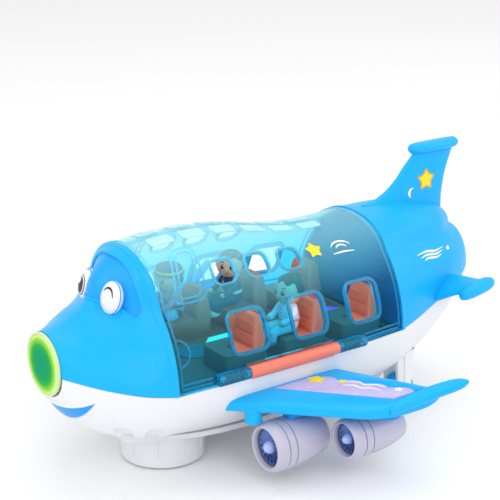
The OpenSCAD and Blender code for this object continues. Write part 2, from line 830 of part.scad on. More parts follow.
// Cabin: the tray, its seats, the aisle panel and the speaker in the floor
tray_t = 2.5;
tray_gap = 0.6;
tray_rim = 1.6;
tray_end = 1;
tray_steps = 12;
tray_low = floor_z - tray_t;
post_r = 4;
post_bore = 11;
speaker_x = 54;
speaker_r = 9;
speaker_deep = 8;
speaker_cone = 4;
speaker_rim = 1;
module tray_outline(inset) {
    side = [
        for (i = [0:tray_steps])
            let (x = mix(front_x - tray_end - inset, tray_end + inset - rear_x, i/tray_steps))
            [x, hull_y(x, tray_low) - shell_wall - tray_gap - inset]
    ];
    polygon(concat(side, [for (i = [0:tray_steps]) let (p = side[tray_steps - i]) [p[0], -p[1]]]));
}
module cabin_tray() {
    color("Coral")
        difference() {
            union() {
                difference() {
                    translate([0, 0, tray_low])
                        linear_extrude(sill_z - part_gap - tray_low)
                            tray_outline(0);
                    translate([0, 0, floor_z])
                        linear_extrude(floor_drop)
                            tray_outline(tray_rim);
                }
                for (p = posts, s = [-1, 1])
                    translate([p[0], s*p[1], base_z])
                        cylinder(h = tray_low - base_z + 1, r = post_r);
            }
            for (p = posts, s = [-1, 1])
                translate([p[0], s*p[1], base_z - 1])
                    cylinder(h = post_bore + 1, r = screw_r + run_gap);
            translate([speaker_x, 0, tray_low - 1])
                cylinder(h = tray_t + 2, r = speaker_r + seat_gap);
        }
}
module speaker() {
    color("DimGray")
        translate([speaker_x, 0, floor_z - speaker_deep]) {
            cylinder(h = speaker_deep - tray_t, r1 = speaker_r - speaker_cone, r2 = speaker_r);
            translate([0, 0, speaker_deep - tray_t])
                cylinder(h = tray_t, r = speaker_r);
            translate([0, 0, speaker_deep])
                cylinder(h = speaker_rim, r = speaker_r + speaker_rim);
        }
}
aisle_front = speaker_x - speaker_r - 2*speaker_rim;
aisle_rear = 3 - rear_x;
aisle_cut = 6;
aisle_t = 2;
module aisle_light() {
    color("MediumOrchid")
        translate([0, 0, floor_z])
            linear_extrude(aisle_t)
                polygon([
                    [aisle_front, aisle_w/2 - aisle_cut], [aisle_front - aisle_cut, aisle_w/2],
                    [aisle_rear + aisle_cut, aisle_w/2], [aisle_rear, aisle_w/2 - aisle_cut],
                    [aisle_rear, aisle_cut - aisle_w/2], [aisle_rear + aisle_cut, -aisle_w/2],
                    [aisle_front - aisle_cut, -aisle_w/2], [aisle_front, aisle_cut - aisle_w/2]
                ]);
}

// Seat: a long base with a peg hole and a leaning back that narrows upwards
seat_len = 30;
back_low = 10.5;
back_top = 7;
back_top_w = 19;
back_round = 3;
back_lean = 1;
seat_corner = 3;
back_corner = 2;
layer = 0.1;
peg_in = 8;
peg_deep = 6;
function row_at(i) = row_x - (i - 1)*row_pitch;
function peg_at(i) = row_at(i) + back_low + peg_in;
module seat(i, side) {
    color("Coral")
        translate([row_at(i), side*seat_y, floor_z])
            difference() {
                union() {
                    translate([seat_len/2, 0, 0])
                        linear_extrude(seat_h)
                            polygon(round_rect(seat_len, seat_w, seat_corner));
                    hull() {
                        translate([back_low/2, 0, seat_h - 1])
                            linear_extrude(1)
                                polygon(round_rect(back_low, seat_w, back_corner, 3));
                        translate([back_low/2 - back_lean, 0, back_h - back_round])
                            linear_extrude(layer)
                                polygon(round_rect(back_top, back_top_w, back_corner, 3));
                        translate([back_low/2 - back_lean, 0, back_h - layer])
                            linear_extrude(layer)
                                polygon(round_rect(back_top - back_round, back_top_w - 5, back_corner/2, 3));
                    }
                }
                translate([back_low + peg_in, 0, seat_h - peg_deep])
                    cylinder(h = peg_deep + 1, r = peg_r);
            }
}

// Hinges: a bar on each sill, a pin through it and a rail inside
bar_front = bar_x + bar_len/2;
bar_rear = bar_x - bar_len/2;
foot_w = 4;
foot_in = 2;
rail_ahead = 8;
rail_in = 9;
rail_w = 3;
rail_y = (2*waist_w + front_w)/6 - rail_in;
seat_y = rail_y - rail_w/2 - seat_side_gap - seat_w/2;
rail_h = 4.5;
rail_knob = 3;
module hinge_bar() {
    color("Coral")
        difference() {
            union() {
                rod_x(bar_rear, bar_front, hinge_r, hinge_y, hinge_z);
                block(
                    [bar_rear + foot_in, hinge_y - foot_w, sill_z],
                    [bar_front - foot_in, hinge_y, hinge_z - pin_r]
                );
            }
            rod_x(bar_rear - 1, bar_front + 1, pin_r + run_gap, hinge_y, hinge_z);
        }
}
module hinge_pins() {
    color("Silver")
        for (s = [-1, 1])
            rod_x(bar_rear - knuckle_len, bar_front + knuckle_len, pin_r, s*hinge_y, hinge_z);
}
module hinge_rail() {
    front = bar_front + rail_ahead;
    rear = bar_rear - knuckle_len;
    color("White") {
        block([rear, rail_y - rail_w/2, floor_z], [front, rail_y + rail_w/2, floor_z + rail_h]);
        translate([front, rail_y, floor_z])
            cylinder(h = rail_h, r = rail_knob);
    }
}

// Doors: the two clear halves of the roof, each turning about its pin
door_steps = 12;
door_arcs = 14;
door_low = 0.6;
door_high = 90 - atan(door_gap/2/saddle_h);
door_rows = [for (i = [0:door_steps]) mix(front_x - door_gap, door_gap - rear_x, i/door_steps)];
door_angles = [for (i = [0:door_arcs]) mix(door_low, door_high, i/door_arcs)];
bar_clear = 0.7;
end_clear = 0.4;
web = 5;
web_h = 2.2;
// Windows: place along X, angle above the sill, length and height, and corner radius
window_w = 22.5;
window_h = 22.3;
port_w = 14;
port_h = 12.5;
port_pitch = 23.3;
window_ahead = 22;
port_ahead = 25;
window_angle = 27;
port_angle = 60.5;
window_corner = 4.5;
port_corner = 4;
window_cut = [30, 100];
door_windows = concat(
    [for (i = [1:3]) [row_at(i) + window_ahead, window_angle, window_w, window_h, window_corner]],
    [for (i = [0:2]) [row_x + port_ahead - port_pitch*i, port_angle, port_w, port_h, port_corner]]
);
module door_window(w) {
    translate([w[0], 0, sill_z])
        rotate([w[1], 0, 0])
            rotate([-90, 0, 0])
                translate([0, 0, window_cut[0]])
                    linear_extrude(window_cut[1] - window_cut[0])
                        polygon(round_rect(w[2], w[3], w[4], 3));
}
module door() {
    knuckles = [[bar_rear - end_clear - knuckle_len, bar_rear - end_clear],
                [bar_front + end_clear, bar_front + end_clear + knuckle_len]];
    color("DeepSkyBlue", 0.4)
        difference() {
            union() {
                difference() {
                    grid_solid(
                        [for (x = door_rows) [for (a = door_angles) skin_pt(x, a)]],
                        [for (x = door_rows) [for (a = door_angles) skin_pt(x, a, -door_wall)]]
                    );
                    block(
                        [bar_rear - end_clear, hinge_y - 2*hinge_r, sill_z],
                        [bar_front + end_clear, hinge_y + 2*hinge_r, hinge_z + hinge_r + bar_clear]
                    );
                    for (w = door_windows)
                        door_window(w);
                }
                for (k = knuckles) {
                    rod_x(k[0], k[1], hinge_r, hinge_y, hinge_z);
                    block([k[0], hinge_y - web, hinge_z - web_h], [k[1], hinge_y, hinge_z + web_h]);
                }
            }
            rod_x(bar_rear - 2*knuckle_len, bar_front + 2*knuckle_len, pin_r + run_gap, hinge_y, hinge_z);
        }
}

// Wing stations from the root out: y, and how far the front and the rear are rounded in
wing_in = waist_w/2 - 11;
wing_out = span/2 - 16;
wing_mid = wing_z - wing_t/2;
wing_round = [[0, 0, 0], [0.5, 0, 0], [0.88, 0, 0], [0.94, 2, 1.5], [0.98, 6, 5], [1, 13, 11]];
function wing_s(y) = (y - waist_w/2)/(wing_out - waist_w/2);
function wing_front(y) = root_x - le_sweep*wing_s(y);
function wing_rear(y) = root_x - root_chord - te_sweep*wing_s(y);
tip_steps = 9;
tip_r = [[0, 2.5], [0.15, 3.6], [0.4, 4], [0.8, 3.7], [0.93, 2.9], [1, 1.2]];
tip_front = 0;
tip_len = 43;
tip_up = 13;
tip_y = wing_out - 2;
tip_turn = 16.6;
lens_front = [26, 22];
lens_rear = [20, 12];
lens_in = 1;
lens_out = 6;
lens_t = 2;
cover_in = 9;
cover_t = 2;
pocket_h = 5;
root_boss_y = waist_w/2 + 4;
root_boss_in = 6.5;
root_boss_x = wing_front(root_boss_y) - root_boss_in;
root_boss_r = 5;
root_boss_h = 5.5;
row_step = cabin_len/9;
hull_rows = [
    for (x = cabin_rows)
        if (x < root_x + 1.2*row_step && x > root_x - root_chord - te_sweep - row_step) x
];
module lens_outline(grow) {
    y0 = waist_w/2 + lens_in;
    y1 = wing_out - lens_out;
    offset(delta = grow)
        polygon([
            [wing_front(y0) - lens_front[0], y0], [wing_rear(y0) + lens_rear[0], y0],
            [wing_rear(y1) + lens_rear[1], y1], [wing_front(y1) - lens_front[1], y1]
        ]);
}
module cover_outline(grow) {
    y0 = waist_w/2 + lens_in;
    y1 = wing_out - lens_out;
    offset(delta = grow)
        polygon([
            [wing_front(y0) - cover_in, y0], [wing_rear(y0) + cover_in, y0],
            [wing_rear(y1) + cover_in, y1], [wing_front(y1) - cover_in, y1]
        ]);
}
module wing() {
    rings = [
        for (r = wing_round)
            let (y = mix(wing_in, wing_out, r[0]), a = wing_front(y) - r[1], b = wing_rear(y) + r[2])
            [for (p = oval(24, a - b, wing_t - 2*r[0], 4)) [(a + b)/2 + p[0], y, wing_mid - p[1]]]
    ];
    tip = [
        for (i = [0:tip_steps])
            let (t = i/tip_steps, r = curve(tip_r, t), x = tip_front - tip_len*t)
            let (y = tip_y + tip_turn*pow(t, 1.8), z = wing_mid + tip_up*pow(t, 1.2))
            [for (q = [0:11]) [x, y + r*cos(30*q), z - r*sin(30*q)]]
    ];
    color("DodgerBlue")
        difference() {
            union() {
                ring_solid(rings);
                ring_solid(tip);
                translate([root_boss_x, root_boss_y, wing_mid - wing_t/2 - root_boss_h])
                    cylinder(h = root_boss_h + wing_t/2, r = root_boss_r);
            }
            body_cutter(hull_rows, [for (a = belly) if (a > -90) a]);
            translate([0, 0, wing_z - lens_t])
                linear_extrude(wing_t)
                    lens_outline(seat_gap);
            translate([0, 0, wing_z - wing_t - 1])
                linear_extrude(pocket_h + 1)
                    cover_outline(seat_gap);
        }
}
module wing_light() {
    color("Lavender")
        translate([0, 0, wing_z - lens_t])
            linear_extrude(lens_t)
                lens_outline(0);
}

// Wing covers close the wings below and carry the cowls
cover_low = wing_z - wing_t;
pylon_w = 6;
pylon_front = 0.38;
pylon_rear = 0.68;
module pylon(x, y, len) {
    block(
        [x - pylon_rear*len, y - pylon_w/2, cover_low - pylon_h],
        [x - pylon_front*len, y + pylon_w/2, cover_low + cover_t]
    );
}
tip_boss_in = 13;
tip_boss_back = 31.7;
tip_boss_y = wing_out - tip_boss_in;
tip_boss_x = wing_front(tip_boss_y) - tip_boss_back;
tip_boss_r = 6.5;
tip_boss_h = 4;
module wing_cover() {
    color("RoyalBlue") {
        translate([tip_boss_x, tip_boss_y, cover_low - tip_boss_h])
            cylinder(h = tip_boss_h + cover_t, r = tip_boss_r);
        translate([0, 0, cover_low])
            linear_extrude(cover_t)
                cover_outline(0);
        pylon(inner_x, inner_y, inner_len);
        pylon(outer_x, outer_y, outer_len);
    }
}

// Engines: a cowl with a duct, and a fan with a dome in it
outer_x = inner_x - inner_len - cowl_back;
inner_z = cover_low - pylon_h - inner_r;
outer_z = cover_low - pylon_h - outer_r;
duct = 6.5;
fan_t = 2;
fan_share = 0.7;
hub_share = 0.26;
dome_len = 5;
module cowl(x, y, z, r, len) {
    color("LightSteelBlue")
        translate([x, y, z])
            rotate([0, -90, 0])
                rotate_extrude()
                    polygon([
                        [0, duct], [0.74*r, duct], [0.76*r, 1.2], [0.84*r, 0], [0.92*r, 0.6], [0.975*r, 3],
                        [r, 0.25*len], [r, 0.5*len], [0.88*r, 0.76*len], [0.68*r, len], [0, len]
                    ]);
}
module fan(x, y, z, r) {
    hub = hub_share*r;
    translate([x, y, z])
        rotate([0, -90, 0])
            rotate_extrude()
                polygon(concat(
                    [[0, duct], [0, duct - fan_t - dome_len]],
                    [for (i = [1:5]) let (a = 90 - 90*i/5) [hub*cos(a), duct - fan_t - dome_len*sin(a)]],
                    [[fan_share*r, duct - fan_t], [fan_share*r, duct]]
                ));
}
module engine_fans() {
    color("DodgerBlue")
        for (s = [-1, 1]) {
            fan(inner_x, s*inner_y, inner_z, inner_r);
            fan(outer_x, s*outer_y, outer_z, outer_r);
        }
}

// Drive turret: a cup turning in the base plate, with its axle, gears and motor
turret_low = 1.2;
turret_wall = 2;
turret_top = base_z - base_t - part_gap;
turret_in = turret_r - turret_wall;
neck_bore = 6;
ring_r = 14;
ring_t = 2.2;
neck_top = base_z + part_gap + ring_t;
wheel_y = 13.5;
web_y = 11;
web_t = 2;
web_half = 5;
gear_y = -9;
gear_w = 3;
gear_r = tooth_m*gear_teeth/2;
pinion_r = tooth_m*pinion_teeth/2;
mesh_gap = 0.1;
pinion_x = gear_r + pinion_r + mesh_gap;
shaft_r = 0.75;
shaft_len = 5;
motor_r = 5;
motor_y = -4.5;
motor_len = 15;
saddle_half = 4;
slot_clear = 0.6;
cover_plate = 1.6;
wheel_chamfer = 0.8;
module at_turret() {
    translate([turret_x, 0, 0])
        children();
}
module turret_housing() {
    color("White")
        at_turret()
            difference() {
                union() {
                    difference() {
                        translate([0, 0, turret_low])
                            cylinder(h = turret_top - turret_low, r = turret_r, $fn = 96);
                        cylinder(h = turret_top - turret_wall, r = turret_in, $fn = 96);
                    }
                    translate([0, 0, turret_top - turret_wall])
                        cylinder(h = neck_top - turret_top + turret_wall, r = neck_r);
                    for (s = [-1, 1])
                        block(
                            [-web_half, s*(web_y + web_t/2) - web_t/2, wheel_r - web_half + 1],
                            [web_half, s*(web_y + web_t/2) + web_t/2, turret_top - 1]
                        );
                    block(
                        [-pinion_x - saddle_half, motor_y + 2, wheel_r + motor_r + seat_gap],
                        [-pinion_x + saddle_half, motor_y + motor_len - 2, turret_top - 1]
                    );
                }
                translate([0, 0, turret_top - 2*turret_wall])
                    cylinder(h = base_z, r = neck_bore);
                rod_y(-turret_in, turret_in, axle_r + run_gap, 0, wheel_r);
            }
}
module turret_ring() {
    color("Gainsboro")
        at_turret()
            translate([0, 0, base_z + part_gap])
                difference() {
                    cylinder(h = ring_t, r = ring_r);
                    translate([0, 0, -1])
                        cylinder(h = ring_t + 2, r = neck_r + run_gap);
                }
}
module turret_cover() {
    wheel_half = 0.75*wheel_r + slot_clear;
    color("White")
        at_turret()
            difference() {
                translate([0, 0, turret_low])
                    cylinder(h = cover_plate, r = turret_in - seat_gap, $fn = 96);
                for (s = [-1, 1])
                    block(
                        [-wheel_half, s*(wheel_y + wheel_w/2) - wheel_w/2 - slot_clear, 0],
                        [wheel_half, s*(wheel_y + wheel_w/2) + wheel_w/2 + slot_clear, turret_top]
                    );
                block([-gear_r, gear_y - slot_clear, 0], [gear_r, gear_y + gear_w + slot_clear, turret_top]);
            }
}
module drive_axle() {
    color("Silver")
        at_turret()
            rod_y(-wheel_y - wheel_w, wheel_y + wheel_w, axle_r, 0, wheel_r);
}
module drive_wheels() {
    color("DimGray")
        at_turret()
            for (s = [-1, 1])
                difference() {
                    translate([0, s*(wheel_y + wheel_w/2), wheel_r])
                        rotate([90, 0, 0])
                            rotate_extrude()
                                polygon([
                                    [0, -wheel_w/2], [wheel_r - wheel_chamfer, -wheel_w/2],
                                    [wheel_r, wheel_chamfer - wheel_w/2],
                                    [wheel_r, wheel_w/2 - wheel_chamfer],
                                    [wheel_r - wheel_chamfer, wheel_w/2], [0, wheel_w/2]
                                ]);
                    rod_y(-turret_r, turret_r, axle_r, 0, wheel_r);
                }
}

// Spur wheel with straight-flanked teeth, its axis along Z
// Half-widths of a tooth are shares of half its pitch
tooth_tip = 0.75;
root_half = 1.45;
pitch_half = 0.92;
tip_half = 0.45;
module spur(teeth, h, turn = 0) {
    pitch = tooth_m*teeth/2;
    tip = pitch + tooth_tip*tooth_m;
    root = pitch - tooth_m;
    half = 90/teeth;
    flanks = [
        [root, -root_half], [pitch, -pitch_half], [tip, -tip_half],
        [tip, tip_half], [pitch, pitch_half], [root, root_half]
    ];
    linear_extrude(h)
        polygon([
            for (i = [0:teeth - 1])
                for (p = flanks)
                    let (a = turn + 360*i/teeth + p[1]*half)
                    [p[0]*cos(a), p[0]*sin(a)]
        ]);
}
module drive_gear() {
    color("Ivory")
        at_turret()
            difference() {
                translate([0, gear_y + gear_w, wheel_r])
                    rotate([90, 0, 0])
                        spur(gear_teeth, gear_w, 180 + 180/gear_teeth);
                rod_y(-turret_r, turret_r, axle_r, 0, wheel_r);
            }
}
module motor_pinion() {
    color("Goldenrod")
        at_turret() {
            translate([-pinion_x, gear_y + gear_w, wheel_r])
                rotate([90, 0, 0])
                    spur(pinion_teeth, gear_w);
            rod_y(gear_y + gear_w, gear_y + gear_w + shaft_len, shaft_r, -pinion_x, wheel_r);
        }
}
module motor() {
    color("Silver")
        at_turret()
            difference() {
                rod_y(motor_y, motor_y + motor_len, motor_r, -pinion_x, wheel_r);
                rod_y(motor_y - 1, gear_y + gear_w + shaft_len + 1, shaft_r + run_gap, -pinion_x, wheel_r);
            }
}

// Rear wheels on short axles between the hull's legs
module rear_wheel(side) {
    rim_in = 2;
    color("DodgerBlue")
        difference() {
            translate([-rear_axle_x, side*rear_wheel_y, rear_wheel_r])
                rotate([90, 0, 0])
                    rotate_extrude()
                        polygon([
                            [0, -rear_wheel_w/2], [rear_wheel_r - rim_in, -rear_wheel_w/2],
                            [rear_wheel_r, rim_in - rear_wheel_w/2], [rear_wheel_r, rear_wheel_w/2 - rim_in],
                            [rear_wheel_r - rim_in, rear_wheel_w/2], [0, rear_wheel_w/2]
                        ]);
            rod_y(-span, span, rear_pin_r + run_gap, -rear_axle_x, rear_wheel_r);
        }
}
module rear_axles() {
    color("Silver")
        for (s = [-1, 1])
            rod_y(s*rear_wheel_y - leg_half, s*rear_wheel_y + leg_half,
                rear_pin_r, -rear_axle_x, rear_wheel_r);
}

// Power: cells, their cover, the board with its lamps, and the switch
cell_gap = 0.4;
cell_z = base_z + cell_d/2;
module batteries() {
    color("SteelBlue")
        for (i = [-1:1])
            rod_x(-box_x - cell_len/2, -box_x + cell_len/2, cell_d/2, i*(cell_d + cell_gap), cell_z);
}
module battery_cover() {
    color("White")
        battery_space(0, base_z - base_t, base_z - cover_play);
}
board_t = 1.6;
board_z = base_z + box_h + box_wall;
board_in = 6;
led_r = 2.5;
led_h = 5;
led_pitch = 15;
chip_low = [-12, 8];
chip_high = [6, 15];
chip_h = 2;
module circuit_board() {
    top = board_z + board_t;
    color("SeaGreen") {
        battery_space(-board_in, board_z, top);
        for (i = [-1:1])
            translate([-box_x + led_pitch*i, 0, top])
                cylinder(h = led_h, r = led_r);
        block([chip_low[0] - box_x, chip_low[1], top], [chip_high[0] - box_x, chip_high[1], top + chip_h]);
    }
}
knob_out = 1;
slider_edge = 3;
slider_h = 3;
cover_play = 0.5;
module power_switch() {
    color("DimGray") {
        block(
            [switch_x - knob_len/2, -knob_w/2, base_z - base_t - knob_out],
            [switch_x + knob_len/2, knob_w/2, base_z + part_gap]
        );
        block(
            [switch_x - knob_len/2 - slider_edge, -knob_w/2 - slider_edge, base_z + part_gap],
            [switch_x + knob_len/2 + slider_edge, knob_w/2 + slider_edge, base_z + part_gap + slider_h]
        );
    }
}

// Seated figures, each with a peg in its seat
peg_gap = 0.08;
figure_peg = 2.6;
torso_r = 6.2;
torso_low = 6.6;
torso_high = 18;
thigh_r = 3.2;
thigh_y = 3.5;
thigh_z = 3.6;
hip_x = 2;
knee_x = 15;
shin_r = 2.9;
foot_z = -2.5;
arm_r = 2.2;
shoulder_y = 7.2;
shoulder_z = 16;
hand_x = 9;
hand_y = 6.4;
hand_z = 8.5;
head_r = 8.4;
head_z = 25.5;
hair_r = 8.8;
hair_back = 1;
hair_up = 0.8;
brim_r = 9.4;
brim_t = 2;
brim_z = 28;
module figure(i, side, lean, hat) {
    translate([peg_at(i), side*seat_y, floor_z + seat_h]) {
        translate([0, 0, -figure_peg])
            cylinder(h = figure_peg + torso_low, r = peg_r - peg_gap);
        capsule([0, 0, torso_low], [lean, 0, torso_high], torso_r);
        for (s = [-1, 1]) {
            capsule([hip_x, s*thigh_y, thigh_z], [knee_x, s*thigh_y, thigh_z], thigh_r);
            capsule([knee_x, s*thigh_y, thigh_z], [knee_x, s*thigh_y, foot_z], shin_r);
            capsule([lean, s*shoulder_y, shoulder_z], [lean + hand_x, s*hand_y, hand_z], arm_r);
        }
        translate([lean, 0, head_z])
            sphere(r = head_r);
        translate([lean - hair_back, 0, head_z + hair_up])
            sphere(r = hair_r);
        if (hat)
            translate([lean - hair_back, 0, brim_z])
                cylinder(h = brim_t, r = brim_r);
    }
}

lower_hull();
base_plate();
nose_shell();
windscreen();
eye(1);  // eye_port
eye(-1);  // eye_starboard
mouth_insert();
nose_lamp();
lamp_cup();
tail_shell();
tail_fin();
tailplane();  // tailplane_port
starboard() tailplane();  // tailplane_starboard
rear_bulkhead();
cabin_tray();
seat(1, 1);  // seat_port_1
seat(2, 1);  // seat_port_2
seat(3, 1);  // seat_port_3
seat(1, -1);  // seat_starboard_1
seat(2, -1);  // seat_starboard_2
seat(3, -1);  // seat_starboard_3
aisle_light();
hinge_bar();  // hinge_bar_port
starboard() hinge_bar();  // hinge_bar_starboard
hinge_pins();
hinge_rail();  // hinge_rail_port
starboard() hinge_rail();  // hinge_rail_starboard
door();  // door_port
starboard() door();  // door_starboard
wing();  // wing_port
starboard() wing();  // wing_starboard
wing_cover();  // wing_cover_port
starboard() wing_cover();  // wing_cover_starboard
wing_light();  // wing_light_port
starboard() wing_light();  // wing_light_starboard
cowl(inner_x, inner_y, inner_z, inner_r, inner_len);  // engine_inner_port
cowl(inner_x, -inner_y, inner_z, inner_r, inner_len);  // engine_inner_starboard
cowl(outer_x, outer_y, outer_z, outer_r, outer_len);  // engine_outer_port
cowl(outer_x, -outer_y, outer_z, outer_r, outer_len);  // engine_outer_starboard
engine_fans();
turret_housing();
turret_cover();
turret_ring();
drive_axle();
drive_gear();
drive_wheels();
motor();
motor_pinion();
rear_wheel(1);  // rear_wheel_port
rear_wheel(-1);  // rear_wheel_starboard
rear_axles();
batteries();
battery_cover();
circuit_board();
speaker();
power_switch();
screws();
color("HotPink") figure(2, 1, 1, false);  // passenger_port
color("MidnightBlue") figure(2, -1, 2, false);  // passenger_starboard
color("Pink") figure(1, -1, 5, true);  // passenger_front
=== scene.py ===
"""Looks of the toy airliner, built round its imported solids.

Lengths of shapes are millimetres. Those in materials, lamps and the camera's clip are metres.
"""
from math import atan2, copysign, cos, degrees, hypot, pi, radians, sin, sqrt

import bmesh
import bpy
from mathutils import Matrix, Vector


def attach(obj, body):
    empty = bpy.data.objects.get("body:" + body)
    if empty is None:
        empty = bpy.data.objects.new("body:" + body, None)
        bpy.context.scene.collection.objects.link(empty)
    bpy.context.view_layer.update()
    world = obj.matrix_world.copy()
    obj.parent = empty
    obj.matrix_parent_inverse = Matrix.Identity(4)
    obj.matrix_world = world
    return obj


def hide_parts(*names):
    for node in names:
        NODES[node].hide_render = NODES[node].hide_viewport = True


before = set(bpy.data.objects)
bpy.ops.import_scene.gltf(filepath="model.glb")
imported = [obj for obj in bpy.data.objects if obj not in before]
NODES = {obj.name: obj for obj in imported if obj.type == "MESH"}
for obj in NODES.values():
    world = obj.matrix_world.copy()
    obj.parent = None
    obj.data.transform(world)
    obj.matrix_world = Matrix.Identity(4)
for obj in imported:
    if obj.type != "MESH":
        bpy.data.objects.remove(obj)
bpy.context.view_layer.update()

MM = 0.001
SCENE = bpy.context.scene


# Camera at the photograph's viewing angle

CAMERA_AT = (481.08, 655.17, 380.82)
CAMERA_TURN = 35.52
CAMERA_RISE = 18.41
CAMERA_LENS = 103.55
CAMERA_SENSOR = 36
CAMERA_CLIP = (0.01, 50)


def make_camera():
    a, e = radians(CAMERA_TURN), radians(CAMERA_RISE)
    back = Vector((sin(a)*cos(e), cos(a)*cos(e), sin(e)))
    right = Vector((0, 0, 1)).cross(back).normalized()
    up = back.cross(right)
    data = bpy.data.cameras.new("camera")
    data.sensor_width = CAMERA_SENSOR
    data.lens = CAMERA_LENS
    data.clip_start, data.clip_end = CAMERA_CLIP
    camera = bpy.data.objects.new("camera", data)
    turn = Matrix((right, up, back)).transposed().to_4x4()
    camera.matrix_world = Matrix.Translation(Vector(CAMERA_AT)*MM) @ turn
    SCENE.collection.objects.link(camera)
    SCENE.camera = camera


# Materials

def linear(code):
    """Linear colour of a hex code."""
    parts = [int(code[i:i + 2], 16)/255 for i in (0, 2, 4)]
    return [c/12.92 if c <= 0.04045 else ((c + 0.055)/1.055)**2.4 for c in parts]


def scaled(colour, factor):
    return [min(1, c*factor) for c in colour] + [1]


class Surface:
    """A node material round one Principled shader, with small helpers for its inputs."""

    def __init__(self, name):
        self.mat = bpy.data.materials.new(name)
        self.mat.use_nodes = True
        self.tree = self.mat.node_tree
        self.bsdf = self.tree.nodes["Principled BSDF"]
        self.out = self.tree.nodes["Material Output"]
        self.place = self.add("ShaderNodeTexCoord").outputs["Object"]

    def add(self, kind, **values):
        node = self.tree.nodes.new(kind)
        for key, value in values.items():
            setattr(node, key, value)
        return node

    def join(self, a, b):
        self.tree.links.new(a, b)

    def set(self, **values):
        for key, value in values.items():
            self.bsdf.inputs[key.replace("_", " ")].default_value = value
        return self

    def noise(self, scale, detail=2):
        node = self.add("ShaderNodeTexNoise")
        node.inputs["Scale"].default_value = scale
        node.inputs["Detail"].default_value = detail
        self.join(self.place, node.inputs["Vector"])
        return node.outputs["Fac"]

    def axis(self, letter):
        """One coordinate of the place on the object."""
        split = self.add("ShaderNodeSeparateXYZ")
        self.join(self.place, split.inputs[0])
        return split.outputs[letter]

    def remap(self, value, low, high, to_low, to_high):
        node = self.add("ShaderNodeMapRange")
        for key, number in (("From Min", low), ("From Max", high), ("To Min", to_low), ("To Max", to_high)):
            node.inputs[key].default_value = number
        self.join(value, node.inputs["Value"])
        return node.outputs["Result"]

    def gloss(self, noise, low, high, least, most):
        """Roughness that varies with a noise."""
        self.join(self.remap(noise, low, high, least, most), self.bsdf.inputs["Roughness"])

    def ramp(self, value, stops, smooth=True):
        """Colours through stops of (position, hex code)."""
        node = self.add("ShaderNodeValToRGB")
        node.color_ramp.interpolation = "EASE" if smooth else "LINEAR"
        while len(node.color_ramp.elements) < len(stops):
            node.color_ramp.elements.new(0.5)
        for element, (at, code) in zip(node.color_ramp.elements, stops):
            element.position = at
            element.color = (*linear(code), 1)
        self.join(value, node.inputs["Fac"])
        return node.outputs["Color"]

    def mix(self, factor, a, b, mode="MIX"):
        node = self.add("ShaderNodeMix", data_type="RGBA", blend_type=mode)
        for socket, value in ((node.inputs[0], factor), (node.inputs[6], a), (node.inputs[7], b)):
            if isinstance(value, bpy.types.NodeSocket):
                self.join(value, socket)
            else:
                socket.default_value = value
        return node.outputs[2]

    def bump(self, height, strength, depth):
        node = self.add("ShaderNodeBump")
        node.inputs["Strength"].default_value = strength
        node.inputs["Distance"].default_value = depth*MM
        self.join(height, node.inputs["Height"])
        self.join(node.outputs["Normal"], self.bsdf.inputs["Normal"])

    def colour(self, value):
        self.join(value, self.bsdf.inputs["Base Color"])
        return self


def moulded(name, code, rough=0.3, vary=0.05, grain=0.12, coat=0.0, soft=0.0, shine=0.5):
    """Injection-moulded plastic: faint flow marks in its colour, an uneven gloss and a fine skin."""
    s = Surface(name)
    base = linear(code)
    flow = s.remap(s.noise(11, 3), 0.35, 0.65, 0, 1)
    s.colour(s.mix(flow, scaled(base, 1 - vary), scaled(base, 1 + vary)))
    s.gloss(s.noise(60, 4), 0.3, 0.7, rough - 0.05, rough + 0.06)
    s.bump(s.noise(1500, 2), grain, 0.05)
    s.set(Coat_Weight=coat, Coat_Roughness=0.08, Specular_IOR_Level=shine)
    if soft:
        s.set(Subsurface_Weight=soft, Subsurface_Radius=(0.004, 0.004, 0.004), Subsurface_Scale=0.6)
    return s.mat


def metal(name, code, rough=0.25):
    s = Surface(name)
    base = linear(code)
    s.colour(s.mix(s.noise(90, 4), scaled(base, 0.9), scaled(base, 1.05)))
    s.gloss(s.noise(400, 3), 0.3, 0.7, rough - 0.07, rough + 0.1)
    s.set(Metallic=1.0)
    return s.mat


CLEAR_SHADE = "F2FCFF"


def clear(name, tints_and_painted_sheen, milk_and_painted_sheen, rough=0.04, ior=1.1):
    """Tinted clear plastic with a little milkiness, letting the lamps through to the cabin.
    Its tint pales and its milkiness grows with height, a painted reflection of the sky on the roof.
    """
    s = Surface(name)
    # Paler, milkier glass higher up: painted reflection of the sky on the roof
    height = s.remap(s.axis("Z"), 0.062, 0.132, 0, 1)
    s.colour(s.ramp(height, [(k/(len(tints_and_painted_sheen) - 1), tone) for k, tone in enumerate(tints_and_painted_sheen)], False))
    s.join(s.remap(height, 0.45, 0.9, 1 - milk_and_painted_sheen[0], 1 - milk_and_painted_sheen[1]), s.bsdf.inputs["Transmission Weight"])
    s.set(IOR=ior)
    s.gloss(s.noise(40, 3), 0.35, 0.7, rough*0.5, rough*1.6)
    s.bump(s.noise(22, 2), 0.1, 0.3)
    through = s.add("ShaderNodeBsdfTransparent")
    through.inputs["Color"].default_value = (*linear(CLEAR_SHADE), 1)
    mix = s.add("ShaderNodeMixShader")
    s.join(s.add("ShaderNodeLightPath").outputs["Is Shadow Ray"], mix.inputs["Fac"])
    s.join(s.bsdf.outputs["BSDF"], mix.inputs[1])
    s.join(through.outputs["BSDF"], mix.inputs[2])
    s.join(mix.outputs["Shader"], s.out.inputs["Surface"])
    return s.mat


